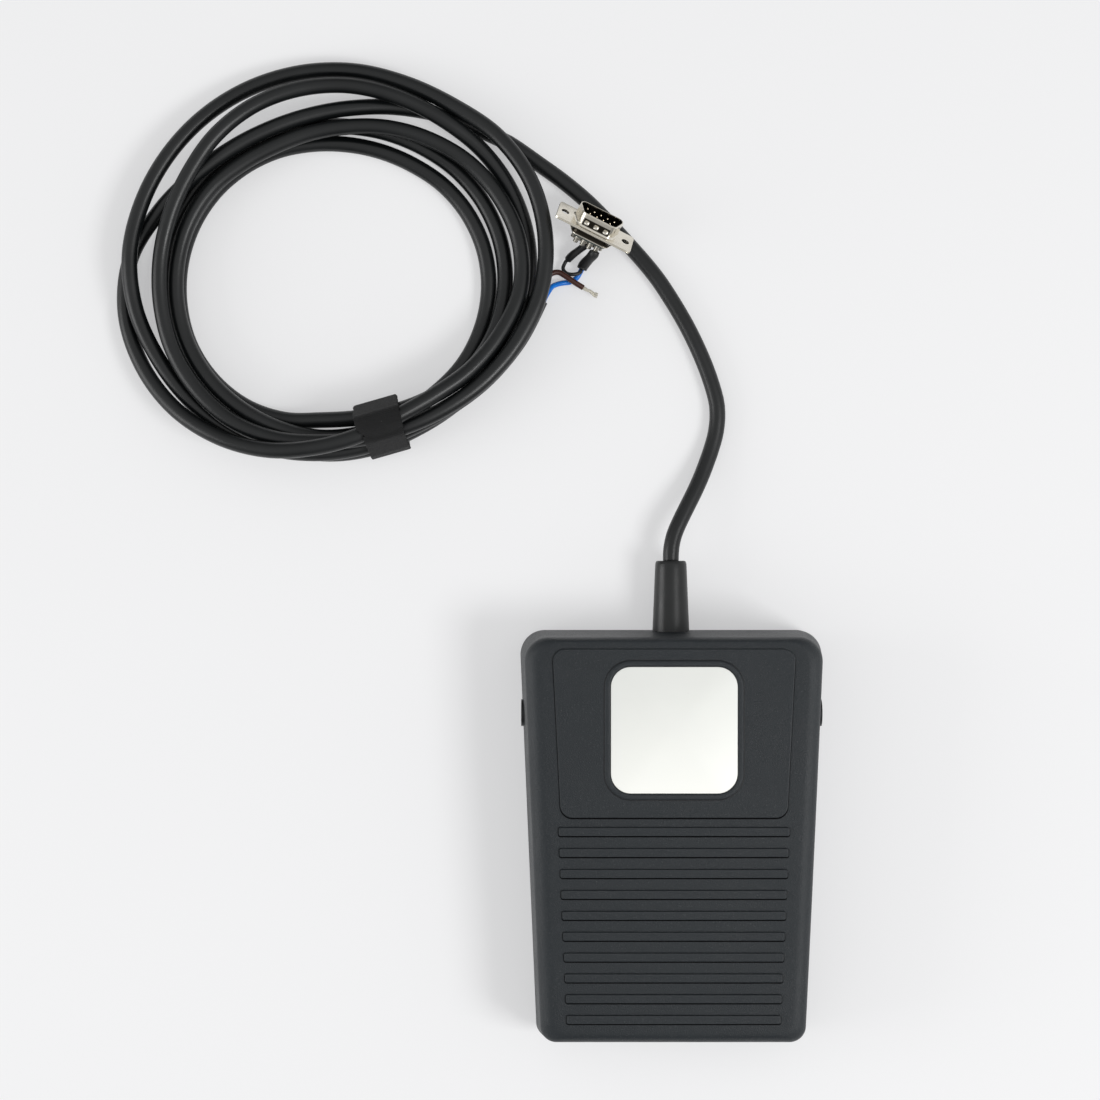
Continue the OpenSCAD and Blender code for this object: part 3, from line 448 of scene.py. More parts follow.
def outline(centres: Array, radii: Array, arc: int, side: int | list[int]) -> Array:
    """Draws the tight line round discs: arcs on the discs and straight runs that touch two.

    A run between discs 1 and 2 has the outward normal n with n.(c2 - c1) = r1 - r2.

    Args:
        centres: Disc centres (discs, 2), anticlockwise.
        radii: Disc radii.
        arc: Points on each arc.
        side: Points on each straight run, between the arcs.

    Returns:
        The outline's points, anticlockwise.
    """
    runs = [side] * len(centres) if isinstance(side, int) else side
    after, r_after = np.roll(centres, -1, 0), np.roll(radii, -1)
    gap = after - centres
    length = np.linalg.norm(gap, axis=-1, keepdims=True)
    along = gap / length
    out = np.stack([along[:, 1], -along[:, 0]], -1)
    lean = (radii - r_after)[:, None] / length
    normal = along * lean + out * np.sqrt(1 - lean**2)
    angle = np.arctan2(normal[:, 1], normal[:, 0])
    parts = []
    for k, centre in enumerate(centres):
        start, end = angle[k - 1], angle[k]
        a = np.linspace(start, start + (end - start) % (2 * np.pi), arc)
        parts.append(centre + radii[k] * on_circle(a))
        s = (np.arange(1, runs[k] + 1) / (runs[k] + 1))[:, None]
        parts.append(parts[-1][-1] * (1 - s) + (after[k] + r_after[k] * normal[k]) * s)
    return np.concatenate(parts)


def rounded_rect(length: float, width: float, corner: float, arc: int, side: int) -> Array:
    """Draws a rectangle with round corners: the tight line round four discs about the origin.

    Args:
        length: Size along X.
        width: Size along Y.
        corner: Radius of the corners.
        arc: Points on each corner.
        side: Points on each straight run.

    Returns:
        The outline, anticlockwise.
    """
    x, y = length / 2 - corner, width / 2 - corner
    centres = np.array([[x, -y], [x, y], [-x, y], [-x, -y]])
    return outline(centres, np.full(4, float(corner)), arc, side)


def make_mesh(name: str, form: Form, smooth_angle: float = SMOOTH_ANGLE) -> Piece:
    """Puts a form into a mesh at the origin, in metres, with UVs and the tone attribute.

    Args:
        name: The piece's name.
        form: Its form, in millimetres.
        smooth_angle: Edges that bend more than this stay sharp.

    Returns:
        The new object, linked to the scene.
    """
    mesh = bpy.data.meshes.new(name)
    faces = [row for block in form.faces for row in block.tolist()]
    mesh.from_pydata((form.points * MM).tolist(), [], faces)
    uvs = np.concatenate([uv.reshape(-1, 2) for uv in form.uvs]).astype(np.float32)
    mesh.uv_layers.new(name="UVMap").data.foreach_set("uv", uvs.ravel())
    tone = mesh.attributes.new("tone", "FLOAT", "POINT")
    tone.data.foreach_set("value", form.tone.astype(np.float32))
    mesh.shade_smooth()
    mesh.set_sharp_from_angle(angle=math.radians(smooth_angle))
    mesh.update()
    piece = bpy.data.objects.new(name, mesh)
    bpy.context.scene.collection.objects.link(piece)
    return piece


def weld(piece: Piece, distance: float = 1e-6) -> None:
    """Merges points of a mesh that lie together.

    Args:
        piece: The mesh.
        distance: How near two points count as one, in metres.
    """
    work = bmesh.new()
    work.from_mesh(piece.data)
    bmesh.ops.remove_doubles(work, verts=work.verts, dist=distance)
    work.to_mesh(piece.data)
    work.free()


def cut_out(piece: Piece, cutters: list[Form], smooth_angle: float = SMOOTH_ANGLE) -> None:
    """Cuts closed forms out of a mesh and keeps its smooth faces.

    Args:
        piece: The mesh that is cut.
        cutters: The forms that are taken away.
        smooth_angle: Edges that bend more than this stay sharp.
    """
    tool = make_mesh("cutter", joined(cutters))
    step = piece.modifiers.new("cut", "BOOLEAN")
    step.operation, step.solver, step.object = "DIFFERENCE", "EXACT", tool
    graph = bpy.context.evaluated_depsgraph_get()
    cut = bpy.data.meshes.new_from_object(piece.evaluated_get(graph), depsgraph=graph)
    piece.modifiers.clear()
    old, piece.data = piece.data, cut
    cut.name = piece.name
    cut.set_sharp_from_angle(angle=math.radians(smooth_angle))
    spent = tool.data
    bpy.data.objects.remove(tool)
    for mesh in (old, spent):
        bpy.data.meshes.remove(mesh)


def hand_over(piece: Piece, finish: Finish, stands_for: tuple[str, ...] = (),
              body: Body = Body.BASE) -> Piece:
    """Gives a piece its finish, its body and the CAD nodes that it stands for.

    Args:
        piece: The finished object.
        finish: Its material.
        stands_for: CAD nodes that it replaces.
        body: The body it rides on.

    Returns:
        The same object.
    """
    piece.data.materials.clear()
    piece.data.materials.append(finish)
    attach(piece, body.value)
    if stands_for:
        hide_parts(*stands_for)
    log.info("%s: %d faces on %s", piece.name, len(piece.data.polygons), body.value)
    return piece


def add_piece(name: str, form: Form, finish: Finish, stands_for: tuple[str, ...] = (),
              body: Body = Body.BASE, smooth_angle: float = SMOOTH_ANGLE) -> Piece:
    """Makes a form's mesh and hands it over in one step.

    Args:
        name: The piece's name.
        form: Its form, in millimetres.
        finish: Its material.
        stands_for: CAD nodes that it replaces.
        body: The body it rides on.
        smooth_angle: Edges that bend more than this stay sharp.

    Returns:
        The new object.
    """
    return hand_over(make_mesh(name, form, smooth_angle), finish, stands_for, body)


def dress(finish: Finish, *nodes: str) -> None:
    """Gives CAD nodes a better material and leaves their meshes alone.

    Args:
        finish: The material.
        *nodes: The nodes' names.
    """
    for node in nodes:
        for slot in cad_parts[node].material_slots:
            slot.material = finish
        log.info("%s: dressed", node)


# ---------------------------------------------------------------- finishes


class Nodes:
    """A node tree, with short words for the nodes that the finishes and the studio use."""

    def __init__(self, tree: bpy.types.NodeTree) -> None:
        """Takes up the tree and gives it a node of coordinates."""
        self.tree = tree
        self.coords = tree.nodes.new("ShaderNodeTexCoord").outputs

    def put(self, socket: Socket, value: object) -> None:
        """Links a socket, or sets it where value is a plain one.

        Args:
            socket: The input.
            value: A socket, a number or a vector; a bare colour is made opaque.
        """
        if isinstance(value, Socket):
            self.tree.links.new(value, socket)
        elif isinstance(value, tuple) and len(value) == 3 and socket.type == "RGBA":
            socket.default_value = (*value, 1.0)
        else:
            socket.default_value = value

    def add(self, kind: str, inputs: dict[str | int, object], output: str | int = 0,
            **traits: object) -> Socket:
        """Adds a node.

        Args:
            kind: The node's type, without its first word.
            inputs: Values or sockets by input name or number.
            output: The output that is wanted.
            **traits: The node's own settings.

        Returns:
            That output.
        """
        node = self.tree.nodes.new("ShaderNode" + kind)
        for key, value in traits.items():
            setattr(node, key, value)
        for key, value in inputs.items():
            self.put(node.inputs[key], value)
        return node.outputs[output]

    def math(self, operation: str, a: object, b: object) -> Socket:
        """Returns a Math node's result."""
        return self.add("Math", {0: a, 1: b}, operation=operation)

    def span(self, value: object, low: float, high: float, to_low: float = 0.0,
             to_high: float = 1.0) -> Socket:
        """Returns the value stretched from one span to another and kept inside it."""
        return self.add("MapRange", {"Value": value, "From Min": low, "From Max": high,
                                     "To Min": to_low, "To Max": to_high}, "Result")

    def parts(self, vector: Socket, name: str) -> Socket:
        """Returns one coordinate of a vector."""
        return self.add("SeparateXYZ", {0: vector}, name)

    def rays(self) -> tuple[Socket, Socket, Socket]:
        """Returns whether a ray is a camera ray, a glossy one or a transmitted one."""
        node = self.tree.nodes.new("ShaderNodeLightPath").outputs
        return node["Is Camera Ray"], node["Is Glossy Ray"], node["Is Transmission Ray"]

    def output(self, name: str, share: Socket, first: Socket, second: Socket) -> None:
        """Mixes two shaders into the tree's output node of that name."""
        self.put(self.tree.nodes[name].inputs["Surface"],
                 self.add("MixShader", {0: share, 1: first, 2: second}))


class Bench(Nodes):
    """A material's node tree with one Principled shader."""

    def __init__(self, name: str) -> None:
        """Makes the material.

        Args:
            name: Its name.
        """
        self.material = bpy.data.materials.new(name)
        self.material.use_nodes = True
        super().__init__(self.material.node_tree)
        self.shader = self.tree.nodes["Principled BSDF"]
        self.place = self.coords["Object"]
        self.surface = self.coords["UV"]

    def tone(self) -> Socket:
        """Returns the piece's tone attribute."""
        return self.add("Attribute", {}, "Fac", attribute_name="tone")

    def scaled(self, vector: Socket, scale: Triple) -> Socket:
        """Returns the vector scaled."""
        return self.add("Mapping", {"Vector": vector, "Scale": scale}, "Vector")

    def noise(self, vector: Socket, scale: float, detail: float = 2.0,
              roughness: float = 0.5) -> Socket:
        """Returns a noise of that scale."""
        return self.add("TexNoise", {"Vector": vector, "Scale": scale, "Detail": detail,
                                     "Roughness": roughness}, "Fac")

    def cells(self, vector: Socket, scale: float) -> Socket:
        """Returns the distance in a cell pattern of that scale."""
        return self.add("TexVoronoi", {"Vector": vector, "Scale": scale}, "Distance")

    def mixed(self, share: object, a: object, b: object) -> Socket:
        """Returns a colour between a and b."""
        return self.add("Mix", {0: share, 6: a, 7: b}, 2, data_type="RGBA")

    def patchy(self, noise: Socket, share: float, a: Colour, b: Colour, low: float = 0.3,
               high: float = 0.7) -> Socket:
        """Returns colour a with that share of b where the noise is high."""
        return self.mixed(self.span(noise, low, high, 0.0, share), a, b)

    def bump(self, height: Socket, depth_mm: float, under: Socket | None = None) -> Socket:
        """Returns a normal raised by height, which is depth_mm deep at one."""
        below = {} if under is None else {"Normal": under}
        return self.add("Bump", {"Distance": depth_mm * MM, "Height": height, **below}, "Normal")

    def done(self, colour: object, roughness: object, normal: Socket | None = None,
             **constants: float) -> Finish:
        """Links the shader and sets its constants.

        Args:
            colour: Base colour, a socket or three numbers.
            roughness: A socket or a number.
            normal: The bumped normal.
            **constants: Other sockets by name, underscores for spaces.

        Returns:
            The finished material.
        """
        self.put(self.shader.inputs["Base Color"], colour)
        self.put(self.shader.inputs["Roughness"], roughness)
        if normal is not None:
            self.put(self.shader.inputs["Normal"], normal)
        for key, number in constants.items():
            self.shader.inputs[key.replace("_", " ")].default_value = number
        return self.material


@dataclass(frozen=True)
class GrainedPlastic:
    """Moulded plastic with a fine spark-eroded grain, with a painted highlight where tone is above
    zero and painted shade where it is below.
    """

    name: str
    colour: Colour = (0.0078, 0.0112, 0.0142)
    pale: Colour = (0.0125, 0.0170, 0.0205)
    roughness: float = 0.43
    grain: float = 2100.0
    depth_mm: float = 0.20
    gloss: float = 0.34
    glint: Colour = (0.085, 0.09, 0.095)
    painted_highlight: Colour = (0.045, 0.050, 0.054)
    shaded: Colour = (0.002, 0.002, 0.0025)
    dust: Colour = (0.24, 0.24, 0.23)

    def material(self) -> Finish:
        """Builds the plastic: grain, glints, clouds, dust, and tone for painted highlight and
        painted shade.

        Returns:
            The material.
        """
        b = Bench(self.name)
        tone = b.tone()
        grit = b.noise(b.place, self.grain, 3.0, 0.65)
        cloud = b.noise(b.place, 45.0, 3.0, 0.55)
        speck = b.span(b.cells(b.place, 420.0), 0.055, 0.02)
        rare = b.span(b.noise(b.place, 260.0, 1.0), 0.62, 0.68)
        specks = b.math("MULTIPLY", b.math("MULTIPLY", speck, rare), 0.8)
        colour = b.patchy(cloud, 0.35, self.colour, self.pale)
        colour = b.patchy(grit, 0.5, colour, self.glint, 0.60, 0.76)
        # tone above zero paints a highlight, tone below zero paints shade
        colour = b.patchy(tone, 0.5, colour, self.painted_highlight, 0.0, 1.0)
        colour = b.patchy(tone, 0.85, colour, self.shaded, 0.0, -1.0)
        colour = b.mixed(specks, colour, self.dust)
        rough = b.span(cloud, 0.3, 0.7, self.roughness - 0.04, self.roughness + 0.06)
        return b.done(colour, rough, b.bump(grit, self.depth_mm), Specular_IOR_Level=self.gloss)


@dataclass(frozen=True)
class LeadJacket:
    """Soft PVC of a lead, read along its own UV: draw lines, dull patches and small scuffs."""

    name: str = "lead_jacket_pvc"
    colour: Colour = (0.0030, 0.0038, 0.0042)
    dull: Colour = (0.0085, 0.0100, 0.0105)
    scuffed: Colour = (0.06, 0.062, 0.064)
    roughness: float = 0.36

    def material(self) -> Finish:
        """Builds the jacket's PVC.

        Returns:
            The material.
        """
        b = Bench(self.name)
        lines = b.noise(b.scaled(b.surface, (26.0, 0.02, 1.0)), 1.0, 3.0, 0.6)
        skin = b.noise(b.place, 900.0, 3.0, 0.6)
        patch = b.noise(b.place, 38.0, 3.0, 0.55)
        scuff = b.noise(b.scaled(b.surface, (9.0, 0.35, 1.0)), 1.0, 4.0, 0.7)
        colour = b.patchy(patch, 0.5, self.colour, self.dull)
        colour = b.mixed(b.math("MULTIPLY", b.span(scuff, 0.67, 0.75), 0.3), colour, self.scuffed)
        rough = b.span(patch, 0.3, 0.7, self.roughness - 0.07, self.roughness + 0.09)
        return b.done(colour, rough, b.bump(lines, 0.05, b.bump(skin, 0.02)),
                      Specular_IOR_Level=0.42)


@dataclass(frozen=True)
class Rubber:
    """Matt rubber with a dusty bloom."""

    name: str
    colour: Colour = (0.0045, 0.0053, 0.0055)
    roughness: float = 0.32
    dusty: Colour = (0.0105, 0.0115, 0.0115)

    def material(self) -> Finish:
        """Builds the rubber.

        Returns:
            The material.
        """
        b = Bench(self.name)
        bloom = b.noise(b.place, 120.0, 3.0, 0.6)
        skin = b.noise(b.place, 1700.0, 2.0, 0.6)
        colour = b.patchy(bloom, 0.5, self.colour, self.dusty, 0.35)
        rough = b.span(bloom, 0.3, 0.7, self.roughness - 0.06, self.roughness + 0.08)
        return b.done(colour, rough, b.bump(skin, 0.02), Specular_IOR_Level=0.45)


@dataclass(frozen=True)
class Metal:
    """Bare or plated metal, dull in patches and painted darker where tone is below zero: painted
    shade in hollows and a painted dark reflection on the plug's shell walls.
    """

    name: str
    colour: Colour
    dull: Colour
    roughness: float
    metallic: float = 1.0
    painted_shade_and_reflection: Colour = (0.030, 0.026, 0.020)

    def material(self) -> Finish:
        """Builds the metal.

        Returns:
            The material.
        """
        b = Bench(self.name)
        lines = b.noise(b.scaled(b.place, (300.0, 300.0, 300.0)), 1.0, 3.0, 0.6)
        stain = b.noise(b.place, 180.0, 3.0, 0.6)
        colour = b.patchy(stain, 0.7, self.colour, self.dull, 0.35, 0.75)
        # tone below zero paints shade or a dark reflection over the metal
        colour = b.patchy(b.tone(), 1.0, colour, self.painted_shade_and_reflection, 0.0, -0.9)
        rough = b.span(stain, 0.3, 0.75, self.roughness - 0.05, self.roughness + 0.14)
        return b.done(colour, rough, b.bump(lines, 0.006), Metallic=self.metallic)


@dataclass(frozen=True)
class SatinBadge:
    """Brushed and anodised aluminium of the bare badge plate, paler towards the tread."""

    name: str = "badge_aluminium_satin"
    colour: Colour = (0.80, 0.81, 0.775)
    cloudy: Colour = (0.765, 0.775, 0.75)
    pale: Colour = (0.93, 0.935, 0.89)
    pitted: Colour = (0.45, 0.45, 0.42)
    pale_span_m: tuple[float, float] = (0.052, 0.018)

    def material(self) -> Finish:
        """Builds the badge's aluminium.

        Returns:
            The material.
        """
        b = Bench(self.name)
        brush = b.noise(b.scaled(b.place, (90.0, 5200.0, 90.0)), 1.0, 3.0, 0.65)
        cloud = b.noise(b.place, 55.0, 2.0, 0.5)
        pits = b.math("MULTIPLY", b.span(b.cells(b.place, 160.0), 0.035, 0.015), 0.35)
        colour = b.patchy(cloud, 0.5, self.colour, self.cloudy, 0.35)
        colour = b.patchy(b.parts(b.place, "Y"), 1.0, colour, self.pale, *self.pale_span_m)
        colour = b.mixed(pits, colour, self.pitted)
        return b.done(colour, b.span(brush, 0.3, 0.7, 0.54, 0.60), b.bump(brush, 0.004),
                      Metallic=0.3, Specular_IOR_Level=0.3)


@dataclass(frozen=True)
class HookLoopTape:
    """Hook-and-loop tape, read along its own UV: fine loops in rows on a ribbed ground."""

    name: str = "strap_hook_loop"
    colour: Colour = (0.0035, 0.0036, 0.0038)
    pale: Colour = (0.0095, 0.0097, 0.0100)
    lint: Colour = (0.12, 0.12, 0.12)

    def material(self) -> Finish:
        """Builds the tape.

        Returns:
            The material.
        """
        b = Bench(self.name)
        ribs = b.add("TexWave", {"Vector": b.surface, "Scale": 0.42, "Distortion": 0.0,
                                 "Detail Scale": 2.0}, "Fac", bands_direction="Y")
        loops = b.cells(b.scaled(b.surface, (1.5, 1.5, 1.0)), 1.0)
        fuzz = b.noise(b.place, 2400.0, 3.0, 0.7)
        lint = b.math("MULTIPLY", b.span(b.cells(b.place, 230.0), 0.06, 0.025), 0.3)
        colour = b.patchy(fuzz, 1.0, self.colour, self.pale, 0.35)
        colour = b.mixed(lint, colour, self.lint)
        normal = b.bump(fuzz, 0.05, b.bump(loops, 0.10, b.bump(ribs, 0.05)))
        return b.done(colour, b.span(fuzz, 0.3, 0.7, 0.62, 0.85), normal, Specular_IOR_Level=0.3)


@dataclass(frozen=True)
class CoreSkin:
    """Glossy coloured PVC on one core, with faint draw lines."""

    name: str
    colour: Colour
    deep: Colour

    def material(self) -> Finish:
        """Builds the core's PVC.

        Returns:
            The material.
        """
        b = Bench(self.name)
        lines = b.noise(b.scaled(b.surface, (12.0, 0.15, 1.0)), 1.0, 2.0, 0.5)
        patch = b.noise(b.place, 300.0, 2.0, 0.5)
        colour = b.patchy(patch, 0.7, self.colour, self.deep, 0.35)
        return b.done(colour, b.span(patch, 0.3, 0.7, 0.30, 0.42), b.bump(lines, 0.02),
                      Specular_IOR_Level=0.4)


# ---------------------------------------------------------------- lead and coil


@dataclass
class Lead:
    """The round lead from the strain relief to the cut end of its jacket, laid as one cord."""

    diameter: float = 6.0
    sides: int = 20
    end_edge: float = 0.25
    step: float = 2.4
    sleeve_tip_y: float = 102.0
    straight: float = 2.0
    coil_middle: tuple[float, float] = (-125.5, 209.0)
    lay_height: float = 3.05
    layer_pitch: float = 6.8
    station_degrees: float = 30.0
    sample_degrees: float = 15.0
    coil_start: float = 40.0
    coil_end: float = 5 * 360 + 353
    end_reading: float = 6.0
    route: Array = field(default_factory=lambda: np.array([
        [0.33, 107.7, 10.95], [1.32, 111.8, 10.6], [2.9, 115.6, 10.1], [5, 119.9, 9.2],
        [7.3, 124.4, 8.1], [9.6, 129, 6.9], [11.8, 133.9, 5.6], [13.8, 139, 4.5],
        [15.7, 144.4, 3.6], [17.3, 150.4, 3.1], [17.9, 157, 3.05], [17, 164, 3.05],
        [13, 176, 3.05], [7, 189, 3.05], [0, 201, 3.05], [-7, 211, 3.05],
        [-18, 223.5, 3.05], [-30, 236, 3.05], [-40, 244.5, 3.05], [-49, 251, 3.05]]))
    reaches: Array = field(default_factory=lambda: np.array([
        97.5, 85, 71, 61.7, 59.8, 65.8, 78.9, 79.5, 73.2, 64, 58.5, 63.4,
        70.1, 67.2, 60.5, 54.6, 53, 57, 59.3, 61, 61.2, 60.9, 57.8, 58.2,
        57.3, 54.2, 50.4, 49.8, 52.6, 56.1, 59, 60.9, 59.2, 54.1, 57, 62.7,
        63.6, 61.5, 57.9, 56.5, 59.2, 62.7, 65.6, 67.6, 66.5, 66.9, 64.9, 67.7,
        72.6, 73, 70.3, 70.4, 68.9, 64.8, 64.9, 66.7, 66.6, 62.8, 63.8, 70.2,
        78.3, 81, 76.6, 77.1, 77.2, 76.6, 76.5, 72.7, 70.4, 66.6, 64.4, 70.1,
        79.2, 84, 86.2]))
    layers: Array = field(default_factory=lambda: np.array([
        0, 0, 0.06, 0.7, 1.03, 0.84, 0.13, 0.79, 2.12, 3.06, 2.86, 1.88,
        1.1, 0.83, 0.92, 1, 0.98, 0.97, 0.97, 1.02, 1.17, 0.72, 0.21, 0.02,
        0, 0, 0, 0, 0, 0, 0, 0.03, 0.05, 0.74, 1.45, 0.88,
        0.27, 0.03, 0, 0, 0, 0, 0, 0, 0.02, 0.25, 0.25, 0.02,
        0.03, 0.27, 1.02, 1.29, 1.62, 1.88, 1.59, 1.52, 1.74, 2.06, 2.21, 1.91,
        1.48, 1.14, 0.76, 0.38, 0.5, 1.05, 1.23, 0.83, 0.95, 1.23, 1.22, 0.94,
        0.5, 0.35, 0.2]))

    def coil_points(self, degrees: Array) -> Array:
        """Points of the coil: reach and layer are smooth values between stations.

        A point is middle + reach (cos a, sin a), at lay_height + layer * layer_pitch.

        Args:
            degrees: Angles round the coil from +X, counted on through its turns.

        Returns:
            Points (angles, 3).
        """
        stations, a = degrees / self.station_degrees, np.radians(degrees)
        reach = cubic(self.reaches, stations)
        layer = np.maximum(cubic(self.layers, stations), 0)
        return np.stack([self.coil_middle[0] + reach * np.cos(a),
                         self.coil_middle[1] + reach * np.sin(a),
                         self.lay_height + layer * self.layer_pitch], -1)

    def path(self) -> Array:
        """The lead's middle line from the strain relief's tip to the end of the jacket.

        Returns:
            Points at even distances.
        """
        angles = np.arange(self.coil_start, self.coil_end + 0.01, self.sample_degrees)
        angles = np.append(angles[angles < self.coil_end - self.end_reading], self.coil_end)
        coil = self.coil_points(angles)
        inward = unit(self.coil_points(np.array([self.coil_start + 5]))[0] - coil[0])
        start = np.array([[0, self.sleeve_tip_y, LEAD_HEIGHT],
                          [0, self.sleeve_tip_y + self.straight, LEAD_HEIGHT]])
        points = np.concatenate([start, self.route, [coil[0] - inward * self.diameter], coil])
        return smooth_route(points, self.step)

    def jacket_end(self) -> tuple[Array, Array]:
        """Returns where the jacket ends and the direction in which it does."""
        near = self.coil_points(np.array([self.coil_end - self.end_reading, self.coil_end]))
        return near[1], unit(near[1] - near[0])

    def build(self, jacket: Finish, pieces: list[Piece]) -> None:
        """Args:
            jacket: The jacket's material.
            pieces: The separate pieces on the cord; not used.
        """
        path = self.path()
        form = round_tube(path, self.diameter / 2, self.sides, self.end_edge)
        lead = add_piece("lead_jacket", form, jacket, ("cord_lead", "cord_coil"))


@dataclass
class StrapOnCoil:
    """Strap round the coil: it starts on top, goes round, and laps a rounded end over its start."""

    middle: tuple[float, float] = (-125.5, 209.0)
    angle: float = 286.0
    width: float = 17.2
    start_width: float = 14.8
    thick: float = 0.9
    edge: float = 0.2
    gap: float = 0.35
    skew: float = 0.7
    along: float = 1.5
    samples: int = 240
    climb_from: float = 0.86
    climb_over: float = 0.12
    climb_height: float = 1.1
    widen_from: float = 0.6
    ripples: tuple[Triple, ...] = ((0.12, 1.3, 0.0), (0.08, 2.9, 1.0))
    lap_share: float = 0.03
    round_end: float = 8.0
    square_end: float = 2.0
    cord_radius: float = 3.0
    places: Array = field(default_factory=lambda: np.array([
        [53.4, 9.6], [57.4, 4.9], [66, 4.9], [65.4, 12], [61.5, 24.3], [58.1, 23.4]]))

    def on_strap(self, points: Array) -> Array:
        """Puts points round the coil, at the strap's angle: middle + reach out + along side.

        Args:
            points: Points as (reach, along the cord, height).

        Returns:
            Points in the CAD frame.
        """
        a = math.radians(self.angle)
        out = np.array([math.cos(a), math.sin(a)])
        side = np.array([-math.sin(a), math.cos(a)])
        flat = points[..., :1] * out + points[..., 1:2] * side + np.array(self.middle)
        return np.concatenate([flat, points[..., 2:]], -1)

    def girth(self, lift: float) -> Array:
        """One clockwise turn round the bundle, as the tight line round the cord's discs.

        Args:
            lift: Distance from the cord.

        Returns:
            Points (reach, height) from the top of the bundle's outer side.
        """
        radii = np.full(len(self.places), self.cord_radius + lift)
        even = even_round(outline(self.places, radii, 10, 10), self.samples)
        start = np.argmax(even[:, 1] + 0.15 * even[:, 0])
        return np.roll(even, -start, 0)[::-1]

    def build(self, tape: Finish) -> Piece:
        """Builds the strap as one tape.

        Its line spirals by its own thickness, and its width grows and shifts along the coil.

        Args:
            tape: The tape's material.

        Returns:
            The strap.
        """
        low = self.girth(self.gap + self.thick / 2)
        high = self.girth(self.gap + self.thick * (0.5 + self.climb_height))
        i = np.arange(int(self.samples * (1 + self.lap_share)))
        climb = (i - self.samples * self.climb_from) / (self.samples * self.climb_over)
        share = smooth_step(climb)[:, None]
        line = low[i % self.samples] * (1 - share) + high[i % self.samples] * share
        ahead = unit(np.gradient(line, axis=0))
        out = np.stack([-ahead[:, 1], ahead[:, 0]], -1)
        run = distances(line)
        widening = np.clip(2 * run / run[-1] - self.widen_from, 0, 1)
        half = (self.start_width + (self.width - self.start_width) * widening) / 2

        def rounded_over(length: float, power: float) -> Array:
            """Half the width, drawn in over that last length of the tape."""
            rest = 1 - np.clip((run[-1] - run) / length, 0, 1)
            return half * np.sqrt(np.clip(1 - rest ** power, 0.0, 1)) + 0.05

        shift = self.skew * (0.5 - run / run[-1]) + self.along
        ripple = sum(size * np.sin(run * rate + phase) for size, rate, phase in self.ripples)
        face, side = self.thick / 2, self.thick / 2 - self.edge
        across = np.array([-1, -1, -0.94, -0.5, 0, 0.5, 0.94, 1, 1, 0.94, 0.5, 0, -0.5, -0.94])
        deep = np.array([-side, side] + [face] * 5 + [side, -side] + [-face] * 5)
        halves = np.where(across[None] < 0, rounded_over(self.round_end, 2.2)[:, None],
                          rounded_over(self.square_end, 2)[:, None])
        y = shift[:, None] + across[None] * halves + ripple[:, None] * np.sign(across)[None]
        flat = line[:, None] + deep[None, :, None] * out[:, None]
        form = ring_skin(np.stack([flat[..., 0], y, flat[..., 1]], -1), around=2 * self.width)
        strap = make_mesh("coil_strap_tape", form.moved(self.on_strap), PAD_ANGLE)
        weld(strap)
        return hand_over(strap, tape, ("coil_strap",))


# ---------------------------------------------------------------- treadle


